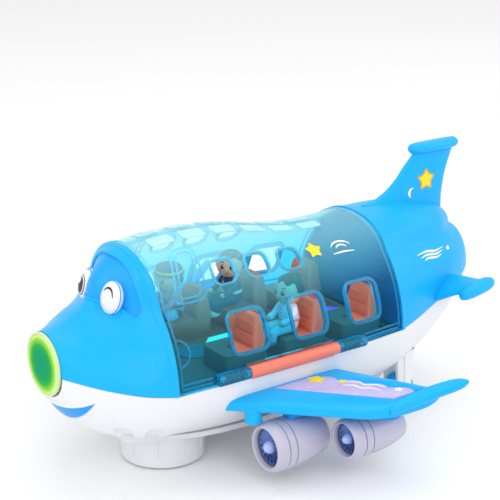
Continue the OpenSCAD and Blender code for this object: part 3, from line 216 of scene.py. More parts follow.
def lamp_lens(centre_z):
    """Green lens, dark in the middle and lime towards its rim, faintly lit."""
    s = Surface("green_lens")
    shift = s.add("ShaderNodeVectorMath", operation="MULTIPLY_ADD")
    shift.inputs[1].default_value = (0, 1, 1)
    shift.inputs[2].default_value = (0, 0, -centre_z*MM)
    s.join(s.place, shift.inputs[0])
    length = s.add("ShaderNodeVectorMath", operation="LENGTH")
    s.join(shift.outputs["Vector"], length.inputs[0])
    ring = s.remap(length.outputs["Value"], 0, 0.0165, 0, 1)
    wave = s.mix(0.06, ring, s.noise(120, 3), "ADD")
    tone = s.ramp(wave, [
        (0.0, "00906C"), (0.5, "00985A"), (0.7, "22A848"),
        (0.85, "7CC63A"), (0.95, "A6DC50"), (1.0, "CDEE9A")
    ])
    s.colour(tone)
    s.join(tone, s.bsdf.inputs["Emission Color"])
    s.set(Emission_Strength=0.1, Roughness=0.5, Specular_IOR_Level=0.05)
    s.bump(s.noise(500, 2), 0.08, 0.05)
    return s.mat


def lit_panel():
    """Aisle panel with coloured lamps below it: green and cyan at the front, magenta behind."""
    s = Surface("lit_panel")
    along = s.remap(s.axis("X"), -0.0595, 0.043, 0, 1)
    tone = s.ramp(along, [
        (0.0, "E05CE8"), (0.22, "F78CF0"), (0.42, "B9A8FF"),
        (0.6, "7CEBFF"), (0.8, "86FFDF"), (1.0, "A8FFC8")
    ])
    glow = s.mix(s.remap(s.noise(90, 3), 0.35, 0.7, 0, 1), tone, (1, 1, 1, 1))
    s.colour(s.mix(0.25, tone, glow))
    s.join(tone, s.bsdf.inputs["Emission Color"])
    s.set(Emission_Strength=0.7, Roughness=0.3, Coat_Weight=0.3)
    return s.mat


def lavender_panel():
    """Translucent wing panel with cloudy pink, blue and violet patches."""
    s = Surface("lavender_panel")
    cloud = s.noise(26, 4)
    tone = s.ramp(cloud, [
        (0.3, "A9BEEE"), (0.46, "BDB9EC"), (0.56, "CDBFEA"), (0.72, "DDBFE2")
    ])
    s.colour(tone)
    s.gloss(s.noise(70, 3), 0.3, 0.7, 0.2, 0.34)
    s.set(Coat_Weight=0.35, Coat_Roughness=0.12)
    s.bump(s.noise(900, 2), 0.06, 0.05)
    return s.mat


def hair_brown():
    s = Surface("hair_brown")
    wave = s.add("ShaderNodeTexWave", wave_type="BANDS")
    wave.inputs["Scale"].default_value = 160
    wave.inputs["Distortion"].default_value = 6
    s.join(s.place, wave.inputs["Vector"])
    s.colour(s.ramp(wave.outputs["Fac"], [(0.1, "3A1A10"), (0.6, "5A2C1A"), (0.95, "74402A")]))
    s.bump(wave.outputs["Fac"], 0.25, 0.3)
    s.set(Roughness=0.45)
    return s.mat


# Moulded plastics: name, colour, roughness, variation, grain, coat, softness and shine

PLASTICS = {
    "sky": ("sky_blue_plastic", "10B2F6", 0.36, 0.02, 0.08, 0.04, 0, 0.22),
    # The windscreen's blue, a little darker than the body's, is partly its insert's own colour and partly
    # painted shade of its recess
    "screen": ("screen_blue_plastic", "12A6F4", 0.36, 0.02, 0.08, 0.04, 0, 0.25),
    "deep": ("deep_blue_plastic", "1498EA", 0.38, 0.03, 0.1, 0.04, 0, 0.25),
    "white": ("white_plastic", "E9EAEE", 0.36, 0.012, 0.1, 0.08),
    "eye_white": ("eye_white", "EFEFF3", 0.25, 0.01, 0.05, 0.25),
    "ink": ("black_print", "15100E", 0.35, 0.1, 0.05),
    "ink_brown": ("brown_print", "5A3A32", 0.35, 0.1, 0.05),
    "ink_blue": ("blue_print", "1E86D8", 0.35, 0.05, 0.05),
    "teal": ("teal_plastic", "146CA4", 0.45, 0.06, 0.15, 0, 0, 0.25),
    "lime": ("cup_lime", "CFE6A6", 0.4, 0.03, 0.1),
    "coral": ("coral_plastic", "EC7A62", 0.42, 0.05, 0.15, 0.05, 0, 0.3),
    "coral_bar": ("coral_bar", "EE7C66", 0.36, 0.04, 0.15, 0.15),
    "grey": ("grey_plastic", "8C9096", 0.45, 0.05, 0.15),
    "cowl": ("engine_grey", "BDB9CC", 0.34, 0.03, 0.12, 0.2),
    # Dark grey of the cowls' groove rings and intake ring is painted shade, and of their seam line a dark
    # joint
    "cowl_shade_and_seam": ("engine_groove_shade_and_seam", "6F6E80", 0.45, 0.05, 0.12),
    "fan": ("fan_blue", "5672B4", 0.4, 0.06, 0.12),
    "hub": ("fan_hub", "A8BFF4", 0.25, 0.04, 0.08, 0.4),
    "rubber": ("rubber", "2A2C30", 0.7, 0.12, 0.5),
    "cell": ("cell_jacket", "3C5468", 0.3, 0.08, 0.1),
    "board": ("board", "1E6A44", 0.5, 0.12, 0.2),
    "skin": ("doll_skin", "F3C3A8", 0.4, 0.03, 0.08, 0.0, 0.15),
    "blush": ("doll_blush", "EE9C8E", 0.45, 0.05, 0.05),
    "lips": ("doll_lips", "C8544A", 0.4, 0.05, 0.05),
    "pink": ("pink_suit", "F29AAA", 0.5, 0.06, 0.2),
    "pale": ("pale_suit", "FBE9EC", 0.5, 0.04, 0.2),
    "navy": ("navy_suit", "22335E", 0.5, 0.1, 0.2),
    "yellow": ("yellow_print", "FFE21A", 0.35, 0.04, 0.05),
    "orange": ("orange_print", "F0A020", 0.35, 0.05, 0.05),
    "print": ("white_print", "FDFDFE", 0.3, 0.01, 0.05),
}
MAT = {key: moulded(*values) for key, values in PLASTICS.items()}
MAT.update({
    "steel": metal("steel", "C4C6CA", 0.25),
    "brass": metal("brass", "D2AE5C", 0.3),
    # Glass tints pale towards the top as a painted reflection of the sky; the lower tones are the plastic's
    # own tint
    "clear": clear("clear_blue", ("36D0FA", "4CD8FA", "94EEFC", "CCF8FE"), (0.03, 0.24)),
    "edge": clear("clear_blue_edge", ("48C8F0", "5CD2F4", "84E2F8", "ACEEFC"), (0.18, 0.28), 0.06, 1.25),
    # Pads pale and milky all over: painted highlight on the roof pads
    "pad": clear("clear_blue_pad", ("C4F2FA", "D6F6FC"), (0.4, 0.5), 0.08),
    "lens": lamp_lens(74),
    "panel": lit_panel(),
    "lavender": lavender_panel(),
    "hair": hair_brown(),
})

# Record slot of each material; prints and figures have none

SLOTS = {
    "sky": "sky_blue_plastic", "screen": "deep_blue_plastic", "deep": "deep_blue_plastic",
    "white": "white_plastic", "coral": "coral_plastic", "teal": "teal_plastic", "grey": "grey_plastic",
    "rubber": "rubber", "cowl": "engine_grey", "cowl_shade_and_seam": "engine_grey",
    "fan": "fan_blue", "hub": "fan_blue",
    "clear": "clear_blue", "edge": "clear_blue", "pad": "clear_blue",
}


# Mesh helpers

SHARP = radians(32)


def clean(obj):
    """Joins doubled points, points the faces outwards and leaves only real corners sharp."""
    bm = bmesh.new()
    bm.from_mesh(obj.data)
    bmesh.ops.remove_doubles(bm, verts=bm.verts, dist=2e-6)
    bmesh.ops.dissolve_degenerate(bm, edges=bm.edges, dist=1e-6)
    bmesh.ops.recalc_face_normals(bm, faces=bm.faces)
    for f in bm.faces:
        f.smooth = True
    for e in bm.edges:
        e.smooth = len(e.link_faces) != 2 or e.calc_face_angle(0) < SHARP
    bm.to_mesh(obj.data)
    bm.free()
    return obj


def solid(name, verts, faces):
    mesh = bpy.data.meshes.new(name)
    mesh.from_pydata([Vector(v)*MM for v in verts], [], faces)
    obj = bpy.data.objects.new(name, mesh)
    SCENE.collection.objects.link(obj)
    return clean(obj)


def applied(obj):
    """Makes the modifiers' result the mesh itself."""
    graph = bpy.context.evaluated_depsgraph_get()
    mesh = bpy.data.meshes.new_from_object(obj.evaluated_get(graph), depsgraph=graph)
    obj.modifiers.clear()
    obj.data = mesh
    return clean(obj)


def boolean(obj, cutter, operation="DIFFERENCE"):
    mod = obj.modifiers.new("cut", "BOOLEAN")
    mod.operation = operation
    mod.object = cutter
    mod.solver = "EXACT"
    applied(obj)
    bpy.data.objects.remove(cutter)
    return obj


def bevelled(obj, width, segments=3, angle=40):
    mod = obj.modifiers.new("edges", "BEVEL")
    mod.width = width*MM
    mod.segments = segments
    mod.limit_method = "ANGLE"
    mod.angle_limit = radians(angle)
    return applied(obj)


def piece(obj, material, replaces=(), body="airframe", slot=None):
    """Gives a piece its material, its body and the nodes that it stands for; the record slot that it looks up
    is not used.
    """
    obj.data.materials.clear()
    obj.data.materials.append(MAT[material])
    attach(obj, body)
    slot = slot or SLOTS.get(material)
    if replaces:
        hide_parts(*replaces)
    return obj


def joined(name, parts):
    """One object from several."""
    bm = bmesh.new()
    for p in parts:
        bm.from_mesh(p.data)
        bpy.data.objects.remove(p)
    mesh = bpy.data.meshes.new(name)
    bm.to_mesh(mesh)
    bm.free()
    obj = bpy.data.objects.new(name, mesh)
    SCENE.collection.objects.link(obj)
    return clean(obj)


def shell(name, outer, inner):
    """Closed wall between two grids of points."""
    rows, cols = len(outer), len(outer[0])
    half = rows*cols
    end = half - cols
    verts = [p for r in outer for p in r] + [p for r in inner for p in r]
    faces = []
    for k in range(rows - 1):
        for i in range(cols - 1):
            a = k*cols + i
            b = a + cols
            faces += [(a, a + 1, b + 1, b), (half + a, half + b, half + b + 1, half + a + 1)]
        a, c = k*cols, k*cols + cols - 1
        faces += [(a, a + cols, half + a + cols, half + a), (c, half + c, half + c + cols, c + cols)]
    for i in range(cols - 1):
        e = end + i
        faces += [(i, half + i, half + i + 1, i + 1), (e, e + 1, half + e + 1, half + e)]
    return solid(name, verts, faces)


def rings(name, loops, capped=True):
    """Closed skin through rings of points."""
    n = len(loops[0])
    verts = [p for r in loops for p in r]
    faces = [
        (k*n + i, k*n + (i + 1) % n, (k + 1)*n + (i + 1) % n, (k + 1)*n + i)
        for k in range(len(loops) - 1) for i in range(n)
    ]
    if capped:
        faces += [tuple(range(n)), tuple(range((len(loops) - 1)*n, len(loops)*n))]
    return solid(name, verts, faces)


def sweep(name, path, sides, ups, profile, closed=True):
    """Profile of (sideways, up) points carried along a path."""
    loops = [[p + b*u + n*v for u, v in profile] for p, b, n in zip(path, sides, ups)]
    if closed:
        return rings(name, loops + [loops[0]], False)
    return rings(name, loops)


def around(n, extra=0):
    """Angles of n even steps round a circle, and of extra steps past its start."""
    return [2*pi*i/n for i in range(n + extra)]


def lathe(name, profile, origin, axis, segments=72):
    """Profile of (radius, along) points turned about an axis."""
    n = Vector(axis).normalized()
    u = n.orthogonal().normalized()
    v = n.cross(u)
    loops = [
        [Vector(origin) + n*h + (u*cos(t) + v*sin(t))*r for t in around(segments)] for r, h in profile
    ]
    return rings(name, loops, profile[0] != profile[-1] and profile[0][0] > 0 and profile[-1][0] > 0)


ROUND_END = (0.02, 0.35, 0.7, 0.92)


def tube(name, points, radii, segments=14):
    """Round bar along points, with a radius at each and round ends."""
    pts = [Vector(p) for p in points]
    last = len(pts) - 1
    tangents = [(pts[min(i + 1, last)] - pts[max(i - 1, 0)]).normalized() for i in range(last + 1)]
    u = tangents[0].orthogonal().normalized()
    loops = []

    def loop(at, t, r):
        nonlocal u
        u = (u - t*u.dot(t)).normalized()
        v = t.cross(u)
        loops.append([at + (u*cos(q) + v*sin(q))*r for q in around(segments)])

    for s in ROUND_END:
        loop(pts[0] - tangents[0]*radii[0]*sqrt(1 - s*s), tangents[0], radii[0]*s)
    for p, t, r in zip(pts, tangents, radii):
        loop(p, t, r)
    for s in reversed(ROUND_END):
        loop(pts[-1] + tangents[-1]*radii[-1]*sqrt(1 - s*s), tangents[-1], radii[-1]*s)
    return rings(name, loops)


def ball(name, centre, radii, segments=28, shape=None):
    """Ellipsoid, with an optional function that moves each unit point."""
    verts, faces = [], []
    rows = segments//2
    for k in range(rows + 1):
        for i in range(segments):
            t, q = pi*k/rows, 2*pi*i/segments
            p = Vector((sin(t)*cos(q), sin(t)*sin(q), cos(t)))
            if shape:
                p = shape(p)
            verts.append(Vector(centre) + Vector((p.x*radii[0], p.y*radii[1], p.z*radii[2])))
    for k in range(rows):
        for i in range(segments):
            j = (i + 1) % segments
            faces.append((k*segments + i, k*segments + j, (k + 1)*segments + j, (k + 1)*segments + i))
    return solid(name, verts, faces)


def prism(name, outline, origin, ux, uy, low, high):
    """Outline in the plane of ux and uy, pushed along their normal from low to high."""
    o, ux, uy = Vector(origin), Vector(ux).normalized(), Vector(uy).normalized()
    n = ux.cross(uy)
    return rings(name, [[o + ux*a + uy*b + n*h for a, b in outline] for h in (low, high)])


def block(name, low, high):
    outline = [(low[0], low[1]), (high[0], low[1]), (high[0], high[1]), (low[0], high[1])]
    return prism(name, outline, (0, 0, 0), (1, 0, 0), (0, 1, 0), low[2], high[2])


SIDES = ((1, "port"), (-1, "starboard"))


def mirror(p, side):
    return Vector((p[0], side*p[1], p[2]))


def round_rect(w, h, r, n=6):
    points = []
    for q, (sx, sy) in enumerate(((1, 1), (-1, 1), (-1, -1), (1, -1))):
        for i in range(n + 1):
            a = pi/2*(q + i/n)
            points.append((sx*(w/2 - r) + r*cos(a), sy*(h/2 - r) + r*sin(a)))
    return points


def rounded(outline, rounds=3, keep=0.25):
    """Corner-cut closed outline."""
    for _ in range(rounds):
        cut = []
        for i, p in enumerate(outline):
            q = outline[(i + 1) % len(outline)]
            cut.append(tuple(a + (b - a)*keep for a, b in zip(p, q)))
            cut.append(tuple(a + (b - a)*(1 - keep) for a, b in zip(p, q)))
        outline = cut
    return outline


FILM_EDGE = 2.2


def film(name, outline, place, rise=0.12, thick=0.1, cuts=2):
    """Thin print over a surface; place turns an outline point and a height into a point in space."""
    bm = bmesh.new()
    bm.faces.new([bm.verts.new((a, b, 0)) for a, b in outline])
    bmesh.ops.triangulate(bm, faces=bm.faces)
    for _ in range(cuts):
        long = [e for e in bm.edges if e.calc_length() > FILM_EDGE]
        if long:
            bmesh.ops.subdivide_edges(bm, edges=long, cuts=1)
            bmesh.ops.triangulate(bm, faces=bm.faces)
    bm.verts.ensure_lookup_table()
    bm.verts.index_update()
    flat = [(v.co.x, v.co.y) for v in bm.verts]
    tris = [[v.index for v in f.verts] for f in bm.faces]
    rim = [[v.index for v in e.verts] for e in bm.edges if len(e.link_faces) == 1]
    bm.free()
    n = len(flat)
    verts = [place(a, b, rise) for a, b in flat] + [place(a, b, rise - thick) for a, b in flat]
    faces = tris + [[i + n for i in reversed(t)] for t in tris]
    faces += [[a, b, b + n, a + n] for a, b in rim]
    return solid(name, verts, faces)


# Body surface: the same curves as the solids

BODY_LEN, FRONT_X, REAR_X, SILL_Z, BASE_Z = 307, 100, 62.5, 61, 23.5
FRONT_W, WAIST_W, TAIL_W = 112, 115, 103
ROOF_H, SADDLE_H, TAIL_H = 71.5, 61, 63.5
WALL, RIM_W, RIM_H = 2.2, 3, 0.8
LAMP_R, LAMP_PROUD, LAMP_LIFT, CUP_WALL = 16.5, 3, 3, 2
NOSE_RISE, LOBE_H, FLANK_H, FRONT_FLANK = 10, 44, 62, 60
FRONT_LOBE, REAR_LOBE, FRONT_CREASE, END_CREASE, REAR_CREASE = 36, 33.5, 9, 4, 2
NOSE_END, TAIL_END = BODY_LEN/2 - LAMP_PROUD, -BODY_LEN/2
NOSE_LEN, CABIN_LEN, TAIL_LEN = NOSE_END - FRONT_X, FRONT_X + REAR_X, -REAR_X - TAIL_END
HULL_DEPTH = SILL_Z - BASE_Z


def mix(a, b, t):
    return a + (b - a)*t


def unit(t):
    return min(1, max(0, t))


def turned(angle):
    """Cosine and sine of an angle in degrees."""
    return cos(radians(angle)), sin(radians(angle))


def smooth(t):
    t = unit(t)
    return t*t*(3 - 2*t)


def curve(t, x):
    """Smooth curve through (position, value) pairs."""
    i = 0
    while i < len(t) - 2 and x >= t[i + 1][0]:
        i += 1

    def rise(k):
        a, b = max(0, k - 1), min(len(t) - 1, k + 1)
        return (t[b][1] - t[a][1])/(t[b][0] - t[a][0])

    w = t[i + 1][0] - t[i][0]
    s = unit((x - t[i][0])/w)
    m0, m1 = rise(i)*w, rise(i + 1)*w
    return (t[i][1]*(1 + 2*s)*(1 - s)**2 + m0*s*(1 - s)**2
            + t[i + 1][1]*s*s*(3 - 2*s) - m1*s*s*(1 - s))


def value(form, t):
    """Value at t of a list of curve points, a straight (start, end), a function or a fixed number."""
    if isinstance(form, list):
        return curve(form, t)
    if isinstance(form, tuple):
        return mix(*form, t)
    return form(t) if callable(form) else form


def by_part(x, nose, cabin, tail):
    """Value of the form of the part of the body that x is in."""
    if x > FRONT_X:
        return value(nose, (x - FRONT_X)/NOSE_LEN)
    if x < -REAR_X:
        return value(tail, (-REAR_X - x)/TAIL_LEN)
    return value(cabin, (x + REAR_X)/CABIN_LEN)


TAIL_PARTING = [(0, 0), (0.33, 5), (0.64, 11), (0.95, 17), (1, 18)]
NOSE_WIDTH = [(0, 1), (0.2, 0.98), (0.39, 0.93), (0.65, 0.755), (0.8, 0.6), (0.9, 0.47),
              (1, 2*(LAMP_R + CUP_WALL)/FRONT_W)]
CABIN_WIDTH = [(0, TAIL_W/2), (0.35, WAIST_W/2 - 1), (0.6, WAIST_W/2), (1, FRONT_W/2)]
TAIL_WIDTH = [(0, 1), (0.17, 0.92), (0.33, 0.825), (0.53, 0.71), (0.69, 0.6), (0.84, 0.455),
              (0.95, 0.29), (1, 0.14)]
NOSE_FLANK = [(0, FRONT_FLANK), (0.1, 52.5), (0.165, 48), (0.23, 44.5), (0.34, 41), (0.48, 37), (0.6, 32.5),
              (0.7, 28.3), (0.85, 23.8), (0.94, 22), (1, LAMP_R + CUP_WALL + LAMP_LIFT)]
CABIN_FLANK = [(0, FLANK_H), (0.7, FLANK_H), (1, FRONT_FLANK)]
TAIL_FLANK = [(0, FLANK_H), (0.33, 53), (0.64, 41), (0.84, 29), (0.92, 24), (0.97, 17), (1, 9)]
NOSE_TOP = [(0, ROOF_H), (0.12, ROOF_H - 3.2), (0.21, ROOF_H - 7.1), (0.31, ROOF_H - 12.6), (0.39, 53),
            (0.44, 44.6), (0.52, 34), (0.65, 24), (1, 12)]
CABIN_TOP = [(0, TAIL_H), (0.12, TAIL_H - 2), (0.24, SADDLE_H), (0.375, mix(SADDLE_H, ROOF_H, 0.32)),
             (0.585, ROOF_H), (0.72, ROOF_H + 2), (0.85, ROOF_H + 2), (1, ROOF_H)]
TAIL_TOP = [(0, TAIL_H), (0.33, 59), (0.64, 49), (0.76, 42.5), (0.84, 35.5), (0.87, 28), (0.92, 20), (1, 6)]
NOSE_CENTRE = [(0, LOBE_H), (0.2, 42), (0.31, 40.5), (0.39, 39), (0.44, 36), (0.52, 28), (0.65, 15), (1, 5)]
TAIL_CENTRE = [(0, LOBE_H), (0.33, 39), (0.64, 33), (0.76, 31), (0.84, 29.5), (0.87, 22), (0.92, 12), (1, 3)]
NOSE_LOBE = [(0, FRONT_LOBE), (0.1, 27.5), (0.165, 22), (0.23, 17), (0.31, 12.5), (0.39, 8.5), (0.44, 6),
             (0.52, 5), (1, 4)]
TAIL_LOBE = [(0, REAR_LOBE), (0.33, 28), (0.64, 20), (0.76, 13), (0.84, 7), (0.87, 5), (1, 3)]
NOSE_KEEL = [(0, 1.01), (0.18, 1.04), (0.28, 1.03), (0.43, 0.985), (0.59, 0.93), (0.72, 0.85),
             (0.82, 0.726), (0.91, 0.562), (1, (LAMP_R + CUP_WALL - LAMP_LIFT)/HULL_DEPTH)]
CABIN_KEEL = [(0, 1.09), (0.18, 1.143), (0.67, 1.143), (0.81, 1.107), (0.89, 1.065), (0.94, 1.035), (1, 1.01)]
TAIL_KEEL = [(0, 1.09), (0.22, 1.09), (0.37, 1.03), (0.53, 0.9), (0.64, 0.79), (0.74, 0.63), (0.84, 0.44),
             (0.95, 0.2), (1, 0.11)]
NOSE_POWER = [(0, 2), (0.2, 1.72), (0.4, 1.5), (0.75, 1.55), (0.9, 1.8), (1, 2)]
ROUND_POWER, HULL_POWER = 2, 2.3


def parting_z(x):
    return SILL_Z + by_part(x, (0, NOSE_RISE), 0, TAIL_PARTING)


def half_w(x):
    return by_part(x, lambda t: FRONT_W/2*curve(NOSE_WIDTH, t), CABIN_WIDTH,
                   lambda t: TAIL_W/2*curve(TAIL_WIDTH, t))


class Station:
    """The body's section at one place along it."""

    def __init__(self, x):
        self.x = x
        self.z = parting_z(x)
        self.w = half_w(x)
        self.flank = by_part(x, NOSE_FLANK, CABIN_FLANK, TAIL_FLANK)
        self.top = by_part(x, NOSE_TOP, CABIN_TOP, TAIL_TOP)
        self.mid = by_part(x, NOSE_CENTRE, LOBE_H, TAIL_CENTRE)
        self.lobe = by_part(x, NOSE_LOBE, (REAR_LOBE, FRONT_LOBE), TAIL_LOBE)
        self.crease = by_part(x, lambda t: mix(FRONT_CREASE, END_CREASE, unit(3*t)),
                              (REAR_CREASE, FRONT_CREASE), REAR_CREASE)
        self.power = by_part(x, NOSE_POWER, ROUND_POWER, ROUND_POWER)
        self.low_power = by_part(x, (HULL_POWER, ROUND_POWER), HULL_POWER, (HULL_POWER, ROUND_POWER))
        self.keel = HULL_DEPTH*by_part(x, NOSE_KEEL, CABIN_KEEL, TAIL_KEEL)

    def radius(self, a):
        c, s = turned(a)
        if s < 0:
            n = self.low_power
            return ((abs(c)/self.w)**n + (abs(s)/self.keel)**n)**(-1/n)
        n = self.power
        low = ((abs(c)/self.w)**n + (s/self.flank)**n)**(-1/n)
        h = self.top - self.mid
        q = (c/self.lobe)**2 + (s/h)**2
        p = s*self.mid/h/h
        e = p*p - q*(self.mid**2/h/h - 1)
        high = (p + copysign(sqrt(abs(e)), e))/q
        k = unit(0.5 + 0.5*(low - high)/self.crease)
        return mix(high, low, k) + self.crease*k*(1 - k)

    def point(self, a, off=0):
        r = self.radius(a) + off
        c, s = turned(a)
        return Vector((self.x, r*c, self.z + r*s))


def skin(x, a, off=0):
    return Station(x).point(a, off)


NORMAL_STEP = 0.4


def skin_normal(x, a):
    """Outward direction of the skin, from places a short step to each side."""
    d = NORMAL_STEP
    along = skin(x + d, a) - skin(x - d, a)
    round_ = skin(x, a + d) - skin(x, a - d)
    n = along.cross(round_).normalized()
    out = Vector((0, *turned(a)))
    return n if n.dot(out) > 0 else -n


def spread(low, high, n):
    return [mix(low, high, i/n) for i in range(n + 1)]


SEAM = 0.3
ARCH = spread(SEAM, 180 - SEAM, 120)
RIM_STEPS = [0, 0.15, 0.35, 0.7, 1.4, 2.3, 2.7, 2.95, 3.2, 3.45, 3.7, 4.2, 5]
RIM_END = 6.2


def rim_off(d):
    """Height of a raised rim at distance d from its edge, with rounded shoulders."""
    return RIM_H*smooth((d + 0.35)/0.7)*(1 - smooth((d - RIM_W + 0.3)/1.0))


def skin_wall(name, xs, angles, outer, inner, side=1):
    """Wall over part of the body's skin, between two offsets from it."""
    rows = [Station(x) for x in xs]
    grids = [[[mirror(s.point(a, off), side) for a in angles] for s in rows] for off in (outer, inner)]
    return shell(name, *grids)


def rib(name, path, ups, profile, closed=True, side=1):
    """Rib along a path on the skin, its profile in (outwards from the path's middle, up)."""
    n = len(path)
    middle = sum(path, Vector())/n
    sides = []
    for i, p in enumerate(path):
        ahead, behind = ((i + 1) % n, i - 1) if closed else (min(i + 1, n - 1), max(i - 1, 0))
        across = ups[i].cross((path[ahead] - path[behind]).normalized()).normalized()
        sides.append(-across if closed and across.dot(p - middle) <= 0 else across)
    return sweep(name, *([mirror(p, side) for p in row] for row in (path, sides, ups)), profile, closed)


# Nose shell, windscreen and face

SCREEN_SIDE = [(0, 48.3), (28.5, 38.3), (30.5, 40), (26.5, 50), (19.5, 61), (16, 64), (9, 67.5), (0, 68.5)]
SCREEN_MID = (0, SILL_Z + 54)
SCREEN_IN, SCREEN_WALL, SCREEN_LAP = 1.2, 1.8, 0.35
FRAME_OUT, STEP_OUT = 0.1, -2.6
FRAME_RIB = [(-0.9, -0.9), (-0.9, 0.15), (-0.5, 0.5), (0.3, 0.5), (0.9, 0.05), (0.9, -0.4)]
STEP_RIB = [(-0.7, -1.9), (-0.7, -0.95), (-0.3, -0.75), (0.5, -0.75), (0.9, -1.0), (0.9, -1.9)]


def screen_outline(grow):
    """Rounded outline of the windscreen seen from ahead, moved outwards from its middle."""
    side = [(y, SILL_Z + z) for y, z in SCREEN_SIDE]
    whole = side + [(-y, z) for y, z in reversed(side[1:-1])]
    out = []
    for y, z in rounded(whole, 3):
        dy, dz = y - SCREEN_MID[0], z - SCREEN_MID[1]
        d = hypot(dy, dz)
        out.append((y + grow*dy/d, z + grow*dz/d))
    return out


def nose_x(y, z, off=0):
    """Place along the nose where its skin passes through y and z."""
    low, high = FRONT_X + 0.5, NOSE_END
    for _ in range(40):
        x = (low + high)/2
        s = Station(x)
        inside = s.radius(degrees(atan2(z - s.z, y))) + off > hypot(y, z - s.z)
        low, high = (x, high) if inside else (low, x)
    return (low + high)/2


def screen_prism(grow):
    outline = screen_outline(grow)
    return prism("screen_cut", outline, (FRONT_X + 1, 0, 0), (0, 1, 0), (0, 0, 1), 0, NOSE_LEN)


def frame_rib(name, grow, profile, material):
    """Rib along the windscreen's outline, on the nose's skin."""
    path = [Vector((nose_x(y, z), y, z)) for y, z in screen_outline(grow)]
    ups = [skin_normal(p.x, degrees(atan2(p.z - parting_z(p.x), p.y))) for p in path]
    piece(rib(name, path, ups, profile), material)


def make_nose():
    rows = [Station(x) for x in [FRONT_X + d for d in RIM_STEPS] + spread(FRONT_X + RIM_END, NOSE_END, 58)]
    nose = shell(
        "nose_skin",
        [[s.point(a, rim_off(s.x - FRONT_X)) for a in ARCH] for s in rows],
        [[s.point(a, -WALL) for a in ARCH] for s in rows],
    )
    boolean(nose, screen_prism(0.0))
    piece(nose, "sky", ["nose_shell"])
    xs = spread(FRONT_X + 3.4, FRONT_X + 0.6*NOSE_LEN, 60)
    screen = skin_wall("screen_panel", xs, ARCH, -SCREEN_IN, -SCREEN_IN - SCREEN_WALL)
    boolean(screen, screen_prism(SCREEN_LAP), "INTERSECT")
    piece(screen, "screen", ["windscreen"])
    frame_rib("screen_frame", FRAME_OUT, FRAME_RIB, "sky")
    frame_rib("screen_step", STEP_OUT, STEP_RIB, "screen")


EYE_AT = (FRONT_X + 0.28*NOSE_LEN, 13, SILL_Z + 47.5)
EYE_YAW, EYE_PITCH = 15, 16
EYE_SINK, EYE_HALF, EYE_STEPS = -1.2, (7.4, 9.4, 4.8), 64
EYE_RIM_SHARE, EYE_RIM_R = 0.98, 0.35
WINK = ([(-3.2, 3.0), (-1.6, 4.9), (0.6, 5.4), (2.8, 4.0), (4.2, 0.6)], [0.3, 0.9, 1.15, 0.9, 0.3])

# Prints on the starboard eye: name, middle, half sizes, rise and material; then each lash's foot and turn

EYE_PRINTS = (
    ("outline_ring", 0.6, -0.6, 4.7, 5.9, 0.1, "ink_brown"),
    ("iris_gap", 0.6, -0.6, 4.2, 5.4, 0.16, "eye_white"),
    ("pupil", 0.6, -0.7, 3.5, 4.7, 0.22, "ink"),
    ("light", -0.6, 1.6, 1.5, 1.8, 0.3, "eye_white"),
)
LASHES = ((-4.4, 5.6, 40), (-2.4, 7.4, 22), (0.2, 8.4, 4))


def eye_frame(side):
    """Middle of an eye, and its outward, up and sideways directions."""
    p, w = radians(EYE_PITCH), radians(side*EYE_YAW)
    out = Vector((cos(p)*cos(w), cos(p)*sin(w), sin(p)))
    up = Vector((-sin(p)*cos(w), -sin(p)*sin(w), cos(p)))
    across = Vector((-sin(w), cos(w), 0))
    return mirror(EYE_AT, side), out, up, across


def on_eye(side):
    """Function from a place on an eye and a height to a point over its dome."""
    at, out, up, across = eye_frame(side)
    wide, tall, deep = EYE_HALF

    def place(a, b, h):
        left = 1 - (a/(wide + h))**2 - (b/(tall + h))**2
        return at + across*a + up*b + out*((deep + h)*sqrt(max(0.02, left)) - EYE_SINK)

    return place


def ellipse(x, y, rx, ry, n=28):
    return [(x + rx*cos(t), y + ry*sin(t)) for t in around(n)]


def stroke(points, widths, n=24):
    """Outline of a brush stroke through points, with a width at each."""
    pts = [[(i/(len(points) - 1), p[k]) for i, p in enumerate(points)] for k in (0, 1)]
    wid = [(i/(len(widths) - 1), w) for i, w in enumerate(widths)]
    line = [(curve(pts[0], i/n), curve(pts[1], i/n), curve(wid, i/n)) for i in range(n + 1)]
    left, right = [], []
    for i, (x, y, w) in enumerate(line):
        a, b = line[max(0, i - 1)], line[min(n, i + 1)]
        dx, dy = b[0] - a[0], b[1] - a[1]
        d = hypot(dx, dy) or 1
        left.append((x - dy/d*w/2, y + dx/d*w/2))
        right.append((x + dy/d*w/2, y - dx/d*w/2))
    return left + right[::-1]


def make_eyes():
    for side, word in SIDES:
        at, out, up, across = eye_frame(side)
        loops = []
        for t in spread(0.02, 0.72*pi, 48):
            wide, tall, deep = sin(t)*EYE_HALF[0], sin(t)*EYE_HALF[1], cos(t)*EYE_HALF[2]
            middle = at + out*(deep - EYE_SINK)
            loops.append([middle + across*wide*cos(q) + up*tall*sin(q) for q in around(EYE_STEPS)])
        piece(rings("eye_ball_" + word, loops), "eye_white", ["eye_" + word], slot="white_plastic")
        place = on_eye(side)
        wide, tall = EYE_RIM_SHARE*EYE_HALF[0], EYE_RIM_SHARE*EYE_HALF[1]
        rim = [place(wide*cos(q), tall*sin(q), 0) for q in around(EYE_STEPS, 1)]
        piece(tube("eye_rim_" + word, rim, [EYE_RIM_R]*len(rim), 8), "screen")
    piece(film("eye_wink", stroke(*WINK), on_eye(1)), "ink")
    place = on_eye(-1)
    for name, x, y, wide, tall, rise, material in EYE_PRINTS:
        piece(film("eye_" + name, ellipse(x, y, wide, tall), place, rise), material)
    for i, (x, y, turn) in enumerate(LASHES):
        c, s = turned(90 + turn)
        lash = stroke([(x, y), (x + 1.4*c, y + 1.4*s), (x + 2.6*c, y + 2.6*s)], [1.0, 0.9, 0.2], 10)
        piece(film(f"eye_lash_{i}", lash, place), "ink_blue")


# Hull, tail and fin

